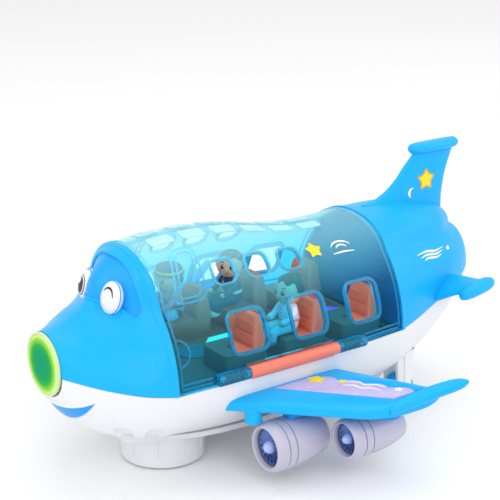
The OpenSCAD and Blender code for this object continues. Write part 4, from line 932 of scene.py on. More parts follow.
LEG_X, LEG_Y, LEG_Z, LEG_TOP = -77.5, 32, 11.5, 42
LEG_HALF, LEG_WALL, LEG_FOOT, LEG_HOLE = 7, 1.3, 5, 1.55
LEG_OUT = 4 + 0.5 + LEG_WALL
LEG_RIB = [(-1.4, LEG_TOP - 2), (1.4, LEG_TOP - 2), (0.7, 17), (-0.7, 17)]
DENTS = ((124.4, 37.8, 39), (109.2, 47.5, 38))
DENT_R, DENT_OUT, HULL_WALL, HULL_STEPS = 6, 2.5, 3.8, 44
DENT_PROFILE = [(0, -12), (DENT_R, -12), (DENT_R, 2), (DENT_R - 2.2, 4.6), (0, 5.2)]
SLOT_AT, SLOT_SIZE = (58.8, -43.4), (11, 4.6, 2.2, 8)


def hull_cut(s):
    """Angle at which the hull's section reaches the base plate, or straight down."""
    if s.z - s.keel >= BASE_Z:
        return -90
    low, high = -90.0, 0.0
    for _ in range(40):
        a = (low + high)/2
        low, high = (a, high) if s.z + s.radius(a)*sin(radians(a)) < BASE_Z else (low, a)
    return high


def hull_sheet():
    """Both sides of the hull from the parting line down, closed at the tail's tip."""
    xs = spread(NOSE_END, FRONT_X, 50) + spread(FRONT_X, -REAR_X, 60)[1:] + spread(-REAR_X, TAIL_END, 60)[1:]
    rows = [Station(x) for x in xs]
    cols = HULL_STEPS + 1
    verts, faces = [], []
    for side, _ in SIDES:
        base = len(verts)
        for s in rows:
            cut = hull_cut(s)
            verts += [mirror(s.point(cut*i/HULL_STEPS), side) for i in range(cols)]
        for k in range(len(rows) - 1):
            for i in range(HULL_STEPS):
                a = base + k*cols + i
                faces.append((a, a + 1, a + cols + 1, a + cols))
    centre = len(verts)
    verts.append((rows[-1].x, 0, rows[-1].z))
    for half in (1, 2):
        base = (half*len(rows) - 1)*cols
        faces += [(base + i, base + i + 1, centre) for i in range(HULL_STEPS)]
    return solid("hull_skin", verts, faces)


def face_outwards(hull):
    """Turns each face of the open sheet away from the body's middle."""
    bm = bmesh.new()
    bm.from_mesh(hull.data)
    for f in bm.faces:
        c = f.calc_center_median()/MM
        out = Vector((0.35 if c.x > 100 else -0.35 if c.x < -100 else 0, c.y/50, (c.z - 62)/40))
        if f.normal.dot(out) < 0:
            f.normal_flip()
    bm.to_mesh(hull.data)
    bm.free()


def make_hull():
    hull = hull_sheet()
    face_outwards(hull)
    wall = hull.modifiers.new("wall", "SOLIDIFY")
    wall.thickness = HULL_WALL*MM
    wall.offset = -1
    applied(hull)
    for side, _ in SIDES:
        for x, y, z in DENTS:
            angle = degrees(atan2(z - parting_z(x), y))
            n = skin_normal(x, angle)
            at = skin(x, angle) + n*DENT_OUT
            rise = (Vector((0, 0, 1)) - n*n.z).normalized()
            boolean(hull, lathe("dent", DENT_PROFILE, mirror(at, side), mirror(rise, side), 48))
        n, at = skin_normal(*SLOT_AT), skin(*SLOT_AT)
        across = n.cross(Vector((1, 0, 0))).normalized()
        along = across.cross(n)
        outline = [(u*along + v*across + at) for u, v in round_rect(*SLOT_SIZE)]
        boolean(hull, rings("slot", [[mirror(p + n*h, side) for p in outline] for h in (-1.5, 4)]))
    piece(hull, "white", ["lower_hull"])


def upright(name, outline, x, y, half):
    """Plate of an outline in x and z, half its thickness to each side of y."""
    return prism(name, outline, (x, y, 0), (1, 0, 0), (0, 0, 1), -half, half)


def make_legs():
    foot = [(LEG_FOOT*cos(a), LEG_Z + LEG_FOOT*sin(a)) for a in (pi*(1 + i/16) for i in range(17))]
    outline = [(LEG_HALF, LEG_TOP), (-LEG_HALF, LEG_TOP)] + foot
    bore = [(0, -3), (LEG_HOLE, -3), (LEG_HOLE, 3), (0, 3)]
    legs = []
    for side, _ in SIDES:
        for d in (-1, 1):
            y = side*LEG_Y + d*LEG_OUT
            leg = bevelled(upright("leg", outline, LEG_X, y, LEG_WALL), 0.5, 2)
            legs.append(boolean(leg, lathe("pin_hole", bore, (LEG_X, y, LEG_Z), (0, 1, 0), 32)))
            legs.append(bevelled(upright("leg_rib", LEG_RIB, LEG_X, y + d*1.5, 0.4), 0.25, 2))
        low = (LEG_X - LEG_HALF, side*LEG_Y - 7.1, LEG_TOP - 2.6)
        high = (LEG_X + LEG_HALF, side*LEG_Y + 7.1, LEG_TOP)
        legs.append(bevelled(block("leg_bridge", low, high), 0.5, 2))
    piece(joined("rear_legs", legs), "white", ["lower_hull"])


def make_tail():
    xs = [-REAR_X - d for d in RIM_STEPS] + spread(-REAR_X - RIM_END, TAIL_END, 70)
    outer = [Station(x) for x in xs]
    scale = (TAIL_LEN - WALL)/TAIL_LEN
    inner = [Station(-REAR_X + (x + REAR_X)*scale) for x in xs]
    grid = [[s.point(a, rim_off(-REAR_X - s.x)) for a in ARCH] for s in outer]
    back = [[s.point(a, -WALL) for a in ARCH] for s in inner]
    for rows, s in ((grid, outer[-1]), (back, inner[-1])):
        last = rows[-1]
        for f in (0.8, 0.5, 0.2, 0):
            rows.append([Vector((s.x, p.y*f, s.z + SEAM + (p.z - s.z - SEAM)*f)) for p in last])
    piece(shell("tail_skin", grid, back), "sky", ["tail_shell"])


OVAL_POWER = 2.6


def oval(n, along, thick, power=OVAL_POWER):
    """Outline between an ellipse and a rectangle."""
    e = 2/power
    points = []
    for a in around(n):
        c, s = cos(a), sin(a)
        points.append((along/2*copysign(abs(c)**e, c), thick/2*copysign(abs(s)**e, s)))
    return points


FIN_TOP, FIN_LOW, FIN_BASE = SILL_Z + 91, SILL_Z + LOBE_H + 6, SILL_Z + TAIL_H - 2
FIN_LEAD = [(0, 8), (0.25, 26), (0.5, 36), (0.75, 42.5), (1, 50)]
FIN_TRAIL = [(0, 75), (0.5, 77.5), (1, 83)]
FIN_T = 7
CAP_BACK, CAP_LEN, CAP_WIDE, CAP_HALF = 67, 40, 12, 3.5
SEAM_FRONT, SEAM_REAR = 9.5, 73.5
SEAM_RIB = [(-0.6, -0.4), (-0.6, 0.25), (0, 0.5), (0.5, 0.3), (0.8, -0.4)]
CUT_OUT, CUT_IN = 0.02, -24


def fin_span(z):
    h = unit((z - FIN_BASE)/(FIN_TOP - FIN_BASE))
    return -REAR_X - curve(FIN_LEAD, h), -REAR_X - curve(FIN_TRAIL, h)


def fin_thick(z):
    return mix(FIN_T + 2, FIN_T - 2, (z - FIN_LOW)/(FIN_TOP - FIN_LOW))


def fin_side(x, z):
    """Distance of the fin's side from its middle plane."""
    front, rear = fin_span(z)
    u = unit(abs((x - (front + rear)/2)/((front - rear)/2)))
    return fin_thick(z)/2*max(0.02, 1 - u**OVAL_POWER)**(1/OVAL_POWER)


def make_fin():
    loops = []
    for z in spread(FIN_LOW, FIN_TOP + 1, 40):
        a, b = fin_span(z)
        loops.append([((a + b)/2 + u, v, z) for u, v in oval(72, a - b, fin_thick(z))])
    blade = rings("fin_blade", loops)
    xs = spread(-REAR_X, TAIL_END + 8, 60)
    boolean(blade, skin_wall("fin_cut", xs, spread(30, 150, 80), CUT_OUT, CUT_IN))
    cap = []
    for s in (sin(t) for t in spread(-pi/2 + 0.02, pi/2 - 0.02, 24)):
        k = sqrt(1.02 - s*s)
        outline = oval(72, CAP_LEN*(0.8 + 0.2*k), CAP_WIDE*k)
        cap.append([(-REAR_X - CAP_BACK + u, v, FIN_TOP + CAP_HALF*(1 + s)) for u, v in outline])
    for obj in (blade, rings("fin_cap", cap)):
        piece(obj, "sky", ["tail_fin"])
    path, ups = [], []
    for x in spread(-REAR_X - SEAM_FRONT, -REAR_X - SEAM_REAR, 60):
        s = Station(x)
        angle = 90 - degrees(atan2(fin_side(x, FIN_BASE + 2), s.top))
        path.append(s.point(angle))
        ups.append(skin_normal(x, angle))
    for side, word in SIDES:
        line, up = [[mirror(p, side) for p in row] for row in (path, ups)]
        piece(sweep("fin_seam_" + word, line, [Vector((0, side, 0))]*len(line), up, SEAM_RIB, False), "sky")


# Tailplanes: sideways place, front, rear, heights of both edges and thickness

PLANE_ROWS = (
    (22, 27.3, 55.5, 61, 77, 9), (40, 35.5, 58.7, 70, 79.5, 8), (55, 41.9, 61.4, 77, 81.5, 4.5),
    (57, 40.5, 64.6, 76.5, 81.5, 8), (60, 39.6, 66.4, 76.5, 81.5, 9), (63, 41.4, 64.2, 77.5, 81, 6.5),
    (64.5, 46.4, 58.7, 78.5, 80, 3),
)


def make_tailplanes():
    columns = [[(r[0], r[k]) for r in PLANE_ROWS] for k in range(1, 6)]
    for side, word in SIDES:
        loops = []
        for y in spread(22, 55, 24) + spread(55, 64.5, 26)[1:]:
            front, rear, low, high, t = (curve(c, y) for c in columns)
            a, b = -REAR_X - front, -REAR_X - rear
            outline = oval(64, a - b, t)
            loops.append([((a + b)/2 + u, side*y, mix(high, low, 0.5 + u/(a - b)) + v) for u, v in outline])
        last = [Vector(p) for p in loops[-1]]
        mid = sum(last, Vector())/len(last)
        for f in reversed(ROUND_END):
            loops.append([mid + (p - mid)*f + Vector((0, side*0.7*(1 - f), 0)) for p in last])
        plane = rings("tailplane_skin_" + word, loops)
        xs = spread(-REAR_X - 8, TAIL_END + 6, 50)
        boolean(plane, skin_wall("plane_cut", xs, spread(-60, 60, 60), CUT_OUT, CUT_IN, side))
        piece(plane, "sky", ["tailplane_" + word])


# Doors

DOOR_GAP, DOOR_WALL, DOOR_LOW, DOOR_HIGH = 0.6, 2.0, 0.6, 89.7
HINGE_Y, HINGE_Z, HINGE_R = WAIST_W/2 + 1, SILL_Z + 4.5, 3.5
BAR_FRONT, BAR_REAR, BAR_GAP, KNUCKLE, KNUCKLE_BORE = 55.5, -6.5, 0.4, 20, 1.3
# Dark coil inside each hinge barrel: painted shade
SHADE_COIL_TURNS, SHADE_COIL_STEPS, SHADE_COIL_R, SHADE_COIL_WIRE = 7, 16, 2.1, 0.42

# Windows: place along the body, angle, width, height and corner

BIG_WINDOWS = [(51.5 - 42*i, 27, 22.5, 22.3, 4.5) for i in range(3)]
PORTS = [(54.5 - 23.3*i, 60.5, 14, 12.5, 4) for i in range(3)]


def window_path(x0, angle, outline):
    """Points of the door's skin under a window's outline, with the angle of each."""
    n = Vector((0, *turned(angle)))
    t = Vector((0, -n.z, n.y))
    points = []
    for u, v in outline:
        s = Station(x0 + u)
        low, high = 10.0, 130.0
        for _ in range(36):
            m = (low + high)/2
            p = t*v + n*m
            inside = s.radius(degrees(atan2(p.z, p.y))) > hypot(p.y, p.z)
            low, high = (m, high) if inside else (low, m)
        p = t*v + n*low
        points.append((s.x, degrees(atan2(p.z, p.y))))
    return points


def skin_rib(name, places, profile, side, closed=True):
    """Rib along places (x, angle) on the skin."""
    return rib(name, [skin(*p) for p in places], [skin_normal(*p) for p in places], profile, closed, side)


def dense(outline, step=1.5):
    """Closed outline with more points along its sides."""
    out = []
    for i, p in enumerate(outline):
        q = outline[(i + 1) % len(outline)]
        n = max(1, int(hypot(q[0] - p[0], q[1] - p[1])/step))
        out += [(mix(p[0], q[0], k/n), mix(p[1], q[1], k/n)) for k in range(n)]
    return out


WINDOW_RIM = [(0.0, -2.6), (0.0, 0.9), (0.35, 1.15), (1.5, 1.15), (1.9, 0.8), (1.9, -0.3), (0.7, -0.3),
              (0.7, -2.6)]
PORT_RIM = [(0.0, -2.2), (0.0, 0.6), (0.25, 0.8), (0.9, 0.8), (1.2, 0.5), (1.2, -0.3), (0.5, -0.3),
            (0.5, -2.2)]
LINE_RIB = [(-0.55, -0.3), (-0.55, 0.25), (-0.25, 0.5), (0.25, 0.5), (0.55, 0.25), (0.55, -0.3)]
ENTRY_AT, ENTRY_SIZE, ENTRY_CORNER, ENTRY_STEPS = (77.3, 62.5), (18, 33), 5, (0, 3)
SILL_LINES, SILL_CLEAR, END_LINES, LINE_IN = (3.4, 6.2), 22, (4, 88.5), (2.4, 2.2)
ROOF_PADS, PAD_FRONT, PAD_STEP, PAD_LEN, PAD_ANGLES, PAD_RISE = 6, 88, 21, 15, (80.5, 87.4), 0.5
GRIP_AT, GRIP_HALF = (FRONT_X - 2.6, 24), (7, 7.5)

# Pads of a latch: both places along the body, both angles, rise and corner

LATCH = ((91.5, 98.2, 42.5, 48, 1.5, 1.5), (93.5, 97.6, 43.6, 46.8, 2.5, 0.8))


def pad(name, x0, x1, a0, a1, rise, side, corner=1.5):
    """Raised rounded pad on the skin between two places and two angles."""
    x, a = (x0 + x1)/2, (a0 + a1)/2
    r = skin(x, a).yz.length*0.55
    outline = round_rect(x1 - x0, radians(a1 - a0)*r, corner, 4)
    return film(
        name, [(x + u, v) for u, v in outline],
        lambda u, v, up: mirror(skin(u, a + degrees(v/r), up), side), rise, rise + 0.2, 3,
    )


def door_skin(side, word):
    """Clear wall of a door, open at the hinge bar and at its windows."""
    xs = spread(FRONT_X - DOOR_GAP, DOOR_GAP - REAR_X, 110)
    door = skin_wall("door_skin_" + word, xs, spread(DOOR_LOW, DOOR_HIGH, 72), 0, -DOOR_WALL, side)
    low = (BAR_REAR - BAR_GAP, side*HINGE_Y - 7, SILL_Z - 5)
    high = (BAR_FRONT + BAR_GAP, side*HINGE_Y + 7, HINGE_Z + HINGE_R + 0.7)
    boolean(door, block("bar_cut", low, high))
    for x, angle, *size in BIG_WINDOWS + PORTS:
        n = mirror((0, *turned(angle)), side)
        t = Vector((0, -side*n.z, side*n.y))
        u = Vector((1, 0, 0))
        low, high = (30, 100) if u.cross(t).dot(n) > 0 else (-100, -30)
        boolean(door, prism("window_cut", round_rect(*size), (x, 0, SILL_Z), u, t, low, high))
    return door


def knuckle(x0, side):
    """Grooved hinge barrel with its web to the door."""
    x1, r = x0 + KNUCKLE, HINGE_R
    profile = [(KNUCKLE_BORE, 0), (r - 0.3, 0), (r, 0.3)]
    for i in range(5):
        b = 2 + i*3.6
        profile += [(r, b), (r - 0.35, b + 0.3), (r - 0.35, b + 0.9), (r, b + 1.2)]
    profile += [(r, KNUCKLE - 0.3), (r - 0.3, KNUCKLE), (KNUCKLE_BORE, KNUCKLE), (KNUCKLE_BORE, 0)]
    barrel = lathe("knuckle", profile, (x0, side*HINGE_Y, HINGE_Z), (1, 0, 0), 40)
    near, far = sorted((side*(HINGE_Y - 5), side*(HINGE_Y - 1.5)))
    web = block("web", (x0, near, HINGE_Z - 2.2), (x1, far, HINGE_Z + 2.2))
    return [barrel, bevelled(web, 0.4)]


def knuckle_shade_coil(name, x0, side):
    """Dark coil round the pin inside a knuckle, standing in for the shadow in the clear barrel: painted
    shade.
    """
    steps = SHADE_COIL_TURNS*SHADE_COIL_STEPS
    coil = []
    for i in range(steps + 1):
        turn = 2*pi*i/SHADE_COIL_STEPS
        y, z = side*HINGE_Y + SHADE_COIL_R*cos(turn), HINGE_Z + SHADE_COIL_R*sin(turn)
        coil.append((mix(x0 + 3, x0 + KNUCKLE - 3, i/steps), y, z))
    return tube(name, coil, [SHADE_COIL_WIRE]*len(coil), 8)


def make_door(side, word):
    body = "door_" + word

    def add(obj, material="edge", replaces=()):
        piece(obj, material, replaces, body)

    def line(name, places, closed=False):
        add(skin_rib(name, places, LINE_RIB, side, closed))

    add(door_skin(side, word), "clear", [body])
    for kind, windows, rim in (("window", BIG_WINDOWS, WINDOW_RIM), ("port", PORTS, PORT_RIM)):
        for i, (x, angle, *size) in enumerate(windows):
            places = window_path(x, angle, dense(round_rect(*size)))
            add(skin_rib(f"{kind}_frame_{word}_{i + 1}", places, rim, side))
    for k, shrink in enumerate(ENTRY_STEPS):
        wide, tall = (d - 2*shrink for d in ENTRY_SIZE)
        entry = dense(round_rect(wide, tall, ENTRY_CORNER - shrink*0.6), 2)
        places = [(ENTRY_AT[0] + u*(1 - 0.011*v) - 0.16*v, ENTRY_AT[1] + v*0.78) for u, v in entry]
        line(f"entry_frame_{word}_{k}", places, True)
    grip = [(GRIP_AT[0] - GRIP_HALF[0]*sin(t), GRIP_AT[1] - GRIP_HALF[1]*cos(t)) for t in spread(0, pi, 24)]
    line("door_grip_" + word, grip)
    add(joined("door_latch_" + word, [pad("latch", *place, side, corner) for *place, corner in LATCH]))
    along = spread(FRONT_X - 3, DOOR_GAP - REAR_X + 3, 60)
    parts = (
        ("front", [x for x in along if x >= BAR_FRONT + SILL_CLEAR]),
        ("rear", [x for x in along if x <= BAR_REAR - SILL_CLEAR]),
    )
    for k, a in enumerate(SILL_LINES):
        for part, xs in parts:
            line(f"sill_line_{word}_{k}_{part}", [(x, a) for x in xs])
    for k, x in enumerate((FRONT_X - LINE_IN[0], DOOR_GAP - REAR_X + LINE_IN[1])):
        line(f"end_line_{word}_{k}", [(x, a) for a in spread(*END_LINES, 60)])
    # The roof pads' pale milky glass is their painted highlight
    for k in range(ROOF_PADS):
        x = PAD_FRONT - PAD_STEP*k
        add(pad(f"roof_pad_{word}_{k + 1}", x - PAD_LEN, x, *PAD_ANGLES, PAD_RISE, side), "pad")
    for k, x0 in enumerate((BAR_REAR - BAR_GAP - KNUCKLE, BAR_FRONT + BAR_GAP)):
        add(joined(f"door_knuckle_{word}_{k}", knuckle(x0, side)))
        # Dark coil in each barrel: painted shade
        add(knuckle_shade_coil(f"knuckle_shade_coil_{word}_{k}", x0, side), "rubber")


# Mouth: arcs seen from ahead, each a middle height, a radius and half its angle

UPPER_LIP = (121.4, 69.6, 29)
LOWER_LIP = (82.4, 41.6, 52)
CHEEK = ((35.8, 58.9), (38, 56.6), (39.4, 53.6), (39.6, 50.5))


def lip_line(centre, r, half):
    half = radians(half)
    return [(r*sin(t), centre - r*cos(t)) for t in spread(-half, half, 44)]


def lip(name, line, thick, thin=0.6, sink=0.5):
    """White fold along a line of (y, z) places on the chin, thinning out to its ends."""
    points = [Vector((nose_x(abs(y), z, -sink), y, z)) for y, z in line]
    last = len(line) - 1
    radii = [mix(thick, thin, abs(2*i/last - 1)**3) for i in range(last + 1)]
    piece(tube(name, points, radii, 20), "white")


def make_mouth():
    cheek = [(-y, z) for y, z in reversed(CHEEK)]
    lip("upper_lip", cheek + lip_line(*UPPER_LIP) + list(CHEEK), 1.4)
    lip("lower_lip", lip_line(*LOWER_LIP), 1.3)


# Wings

WING_Z, WING_T, WING_IN, WING_OUT = 52, 10, WAIST_W/2 - 11, 114
WING_MID = WING_Z - WING_T/2
ROOT_X, ROOT_CHORD, LEAD_SWEEP, REAR_SWEEP = 65.5, 79, 57, 29
WING_ROUND = [(0, 0, 0), (0.5, 0, 0), (0.88, 0, 0), (0.94, 2, 1.5), (0.98, 6, 5), (1, 13, 11)]
TIP_R = [(0, 2.5), (0.15, 3.6), (0.4, 4), (0.8, 3.7), (0.93, 2.9), (1, 1.2)]
TIP_FRONT, TIP_LEN, TIP_UP, TIP_TURN, TIP_Y = 0, 43, 13, 16.6, WING_OUT - 2
ROOT_BOSS = (55, 61.5, 5, 5.5)
PANEL_Y = (WAIST_W/2 + 1, WING_OUT - 6)
PANEL_FRONT, PANEL_REAR, COVER_EDGE, PANEL_T, POCKET = (26, 22), (20, 12), (9, 9), 2, 5
FIT = 0.2
SCALLOP_STEPS, SCALLOP_WAVES = 64, 4

# Prints on a wing: middle, radius, turn and material of each star, and the points of each stroke

WING_STARS = (
    ((12, 63), 6.2, 10, "yellow"), ((1.5, 74), 3, 40, "yellow"), ((-17, 101), 3.2, 0, "print"),
)
WING_STROKES = (
    ((5, 78), (0, 82), (-1, 87), (-6, 91), (-8, 97)), ((0, 76), (-5, 80), (-6, 85), (-11, 89), (-13, 95)),
)


def wing_share(y):
    return (y - WAIST_W/2)/(WING_OUT - WAIST_W/2)


def wing_front(y):
    return ROOT_X - LEAD_SWEEP*wing_share(y)


def wing_rear(y):
    return ROOT_X - ROOT_CHORD - REAR_SWEEP*wing_share(y)


def wing_edge(ends, sign):
    """Smooth edge of the wing through the places where its solid has sections."""
    edge = []
    for share, front, rear in WING_ROUND:
        y = mix(WING_IN, WING_OUT, share)
        edge.append((y, ends(y) + sign*(front if sign < 0 else rear)))
    return edge


def panel_corners(front, rear):
    y0, y1 = PANEL_Y
    return [(wing_front(y0) - front[0], y0), (wing_rear(y0) + rear[0], y0),
            (wing_rear(y1) + rear[1], y1), (wing_front(y1) - front[1], y1)]


def grown(outline, by):
    """Outline moved outwards from its middle."""
    n = len(outline)
    mid = [sum(p[k] for p in outline)/n for k in (0, 1)]
    return [tuple(c + by*copysign(1, c - m) for c, m in zip(p, mid)) for p in outline]


def pocket(name, corners, low, high, side):
    outline = [(x, side*y) for x, y in grown(corners, FIT)]
    return prism(name, outline, (0, 0, 0), (1, 0, 0), (0, 1, 0), low, high)


def wing_tip(side):
    """Turned-up float at the wing's end."""
    loops = []
    for t in spread(0, 1, 36):
        r, x = curve(TIP_R, t), TIP_FRONT - TIP_LEN*t
        y, z = TIP_Y + TIP_TURN*t**1.8, WING_MID + TIP_UP*t**1.2
        loops.append([(x, side*(y + r*cos(q)), z + r*sin(q)) for q in around(32)])
    return rings("tip", loops)


def root_boss(side):
    x, y, r, h = ROOT_BOSS
    low = WING_Z - WING_T - h
    profile = [(0, low), (r - 0.6, low), (r, low + 0.6), (r, WING_MID), (0, WING_MID)]
    return lathe("boss", profile, (x, side*y, 0), (0, 0, 1), 48)


def scallop(name, side):
    """Wavy edge of the wing over the rear of its light panel."""
    first, last = panel_corners(PANEL_FRONT, PANEL_REAR)[1:3]
    low, high = WING_Z - 0.2, WING_Z + 0.5
    loops = []
    for i in range(SCALLOP_STEPS + 1):
        x, y = (mix(first[k], last[k], i/SCALLOP_STEPS) for k in (0, 1))
        ahead = x + 5 - 4*abs(sin(SCALLOP_WAVES*pi*i/SCALLOP_STEPS))
        corners = ((x - 1.2, low), (ahead, low), (ahead - 0.2, high), (x - 1.2, high))
        loops.append([(a, side*y, z) for a, z in corners])
    return rings(name, loops)


def make_wing(side, word):
    lead, trail = wing_edge(wing_front, -1), wing_edge(wing_rear, 1)
    loops = []
    for y in spread(WING_IN, 104, 30) + spread(104, WING_OUT, 28)[1:]:
        a, b = curve(lead, y), curve(trail, y)
        t = WING_T - 2*(y - WING_IN)/(WING_OUT - WING_IN)
        loops.append([((a + b)/2 + u, side*y, WING_MID + v) for u, v in oval(80, a - b, t, 4)])
    wing = rings("wing_skin_" + word, loops)
    boolean(wing, wing_tip(side), "UNION")
    boolean(wing, root_boss(side), "UNION")
    for front, rear, low, high in (
        (PANEL_FRONT, PANEL_REAR, WING_Z - PANEL_T, WING_Z + 5),
        (COVER_EDGE, COVER_EDGE, 30, WING_Z - WING_T + POCKET),
    ):
        boolean(wing, pocket("pocket", panel_corners(front, rear), low, high, side))
    xs = spread(ROOT_X + 14, -30, 44)
    boolean(wing, skin_wall("hull_cut", xs, spread(-80, -1, 50), 0.05, CUT_IN, side))
    piece(wing, "sky", ["wing_" + word])
    piece(scallop("wing_scallop_" + word, side), "sky")
    for k, (at, r, turn, material) in enumerate(WING_STARS):
        piece(film(f"wing_star_{word}_{k}", star(*at, r, turn), on_wing(side)), material)
    for k, points in enumerate(WING_STROKES):
        line = stroke(points, [0.4, 1.3, 1.3, 1.3, 0.4], 40)
        piece(film(f"wing_stroke_{word}_{k}", line, on_wing(side)), "print")


def on_wing(side):
    return lambda a, b, h: Vector((a, side*b, WING_Z + h))


def star(x, y, r, turn=0, points=5, inner=0.52):
    """Star with softened points."""
    tips = []
    for i in range(2*points):
        a = radians(turn) + pi*i/points
        d = r*(inner if i % 2 else 1)
        tips.append((x + d*cos(a), y + d*sin(a)))
    return rounded(tips, 2, 0.22)


# Engines: name, front, sideways place, height, radius and length

ENGINES = (("inner", 54, 71, 23.5, 14.5, 39), ("outer", 15, 92, 26, 12, 40))
DUCT, BLADES, GROOVES, GROOVE = 6.5, 16, (0.19, 0.32), 0.45
COWL_SEAM = radians(-38)
BACK = (-1, 0, 0)

# Front and rear of a cowl, and a ring of painted shade inside its intake: share of its radius, and distance
# from its front or rear end

COWL_FRONT = (
    (0, DUCT), (0.74, DUCT), (0.755, 2.6), (0.765, 1.3), (0.785, 0.5), (0.815, 0.1),
    (0.845, 0), (0.885, 0.2), (0.92, 0.8), (0.95, 1.7),
)
COWL_REAR = ((0.655, 0), (0.6, 0), (0.57, 0.7), (0.55, 5), (0, 5))
INTAKE_SHADE = ((0.738, DUCT - 0.3), (0.75, 2.9), (0.735, 2.9), (0.725, DUCT - 0.3), (0.738, DUCT - 0.3))


def cowl_r(length):
    """Share of the cowl's radius along it."""
    shares = ((0.12, 0.995), (0.25, 1), (0.5, 0.995), (0.76, 0.88))
    return [(3, 0.975)] + [(at*length, share) for at, share in shares] + [(length, 0.68)]


def make_engine(name, x, y, z, r, length, side, word):
    at = (x, side*y, z)
    table = cowl_r(length)
    profile = [(share*r, h) for share, h in COWL_FRONT]
    marks = spread(3, length - 0.6, 44)
    marks += [g*length + d for g in GROOVES for d in (-GROOVE, -GROOVE/2, GROOVE/2, GROOVE)]
    for h in sorted(marks):
        deep = any(abs(h - g*length) < 0.75*GROOVE for g in GROOVES)
        profile.append((curve(table, h)*r - (0.5 if deep else 0), h))
    profile += [(share*r, length - h) for share, h in COWL_REAR]
    piece(lathe(f"cowl_{name}_{word}", profile, at, BACK, 96), "cowl", [f"engine_{name}_{word}"])
    lines = []
    # Dark rings at the bottom of the grooves and inside the intake are painted shade; the seam line is a dark
    # joint
    for g in GROOVES:
        h, w = g*length, GROOVE/2
        out = curve(table, h)*r - 0.42
        ring = [(out - 0.4, h - w), (out, h - w), (out, h + w), (out - 0.4, h + w), (out - 0.4, h - w)]
        lines.append(lathe("ring", ring, at, BACK, 96))
    lines.append(lathe("lining", [(share*r, h) for share, h in INTAKE_SHADE], at, BACK, 72))
    seam = []
    for h in spread(0.35*length, 0.97*length, 30):
        d = curve(table, h)*r - 0.06
        seam.append((x - h, side*(y + d*cos(COWL_SEAM)), z + d*sin(COWL_SEAM)))
    lines.append(tube("seam", seam, [0.16]*len(seam), 8))
    piece(joined(f"cowl_lines_{name}_{word}", lines), "cowl_shade_and_seam")
    make_fan(f"{name}_{word}", at, r)


def make_fan(name, at, r):
    """Disc with twisted blades, and a pale dome at its middle."""
    o = Vector(at)
    deep, ring = DUCT - 1.4, DUCT - 2.8
    disc = [(0, DUCT), (0.7*r, DUCT), (0.7*r, ring), (0.665*r, ring), (0.66*r, deep), (0, deep)]
    parts = [lathe("disc", disc, at, BACK, 72)]
    for turn in around(BLADES):
        out = Vector((0, cos(turn), sin(turn)))
        round_ = Vector((0, -sin(turn), cos(turn)))
        loops = []
        for t in spread(0, 1, 6):
            pitch = radians(mix(58, 30, t))
            wide = r*mix(0.1, 0.19, t)
            along = round_*cos(pitch) + Vector((1, 0, 0))*sin(pitch)
            face = along.cross(out)
            middle = o + out*r*mix(0.24, 0.655, t) - Vector((DUCT - 2.6, 0, 0))
            loops.append([middle + along*wide*u + face*v for u, v in oval(12, 1, 0.5, 2)])
        parts.append(rings("blade", loops))
    piece(joined("fan_" + name, parts), "fan", ["engine_fans"])
    hub, foot = 0.27*r, DUCT - 2
    dome = [(0, deep), (hub, deep), (hub, foot)]
    dome += [(hub*cos(a), foot - 5*sin(a)) for a in spread(0.15, pi/2, 10)]
    piece(lathe("fan_dome_" + name, dome, at, BACK, 48), "hub", ["engine_fans"])


# Rear wheels

WHEEL_R, WHEEL_HALF, WHEEL_BORE, SPOKES = 11.5, 4, 1.8, 5
SPOKE = [(3, -0.8), (7.5, -1.1), (7.5, 1.1), (3, 0.8)]


def make_wheel(side, word):
    """Grooved tyre on a dished hub with short spokes on both faces."""
    r, half = WHEEL_R, WHEEL_HALF
    face = [(WHEEL_BORE, half - 0.6), (3.2, half - 0.6), (3.4, half - 2), (7.2, half - 2), (7.6, half - 0.3),
            (8.2, half), (9.4, half), (10.6, half - 0.5), (11.3, half - 1.3), (r, half - 2.2)]
    tread = []
    for h in (1.0, -1.0):
        tread += [(r, h + 0.35), (r - 0.5, h + 0.2), (r - 0.5, h - 0.2), (r, h - 0.35)]
    profile = face + tread + [(d, -h) for d, h in reversed(face)]
    at = (LEG_X, side*LEG_Y, LEG_Z)
    parts = [lathe("tyre", profile + [profile[0]], at, (0, 1, 0), 72)]
    for turn in around(SPOKES):
        out, across = (cos(turn), 0, sin(turn)), (-sin(turn), 0, cos(turn))
        for face_side in (1, -1):
            low, high = sorted((-face_side*(half - 0.7), -face_side*(half - 2.3)))
            parts.append(bevelled(prism("spoke", SPOKE, at, out, across, low, high), 0.25, 2))
    body = "rear_wheel_" + word
    piece(joined("rear_tyre_" + word, parts), "sky", [body], body)


# Cabin: seat panels, slats on the bulkhead and rings on the speaker

ROWS, SEAT_Y, FLOOR_Z, SEAT_H = (29.5, -12.5, -54.5), 29, 57.5, 12
BACK_LOW, BACK_HIGH = (10.5, 12), (7.75, 26.5)
SEAT_PANELS = ((20, 0.1, 0.5), (16.5, 0.56, 0.96))
SLATS, SLAT_X, SLAT_Y, SLAT_Z, SLAT_STEP = 5, (-63.6, -62.8), 24, 82, 4.4
SPEAKER_AT, SPEAKER_RINGS = (54, 0, 0), (2.2, 4.6, 7)


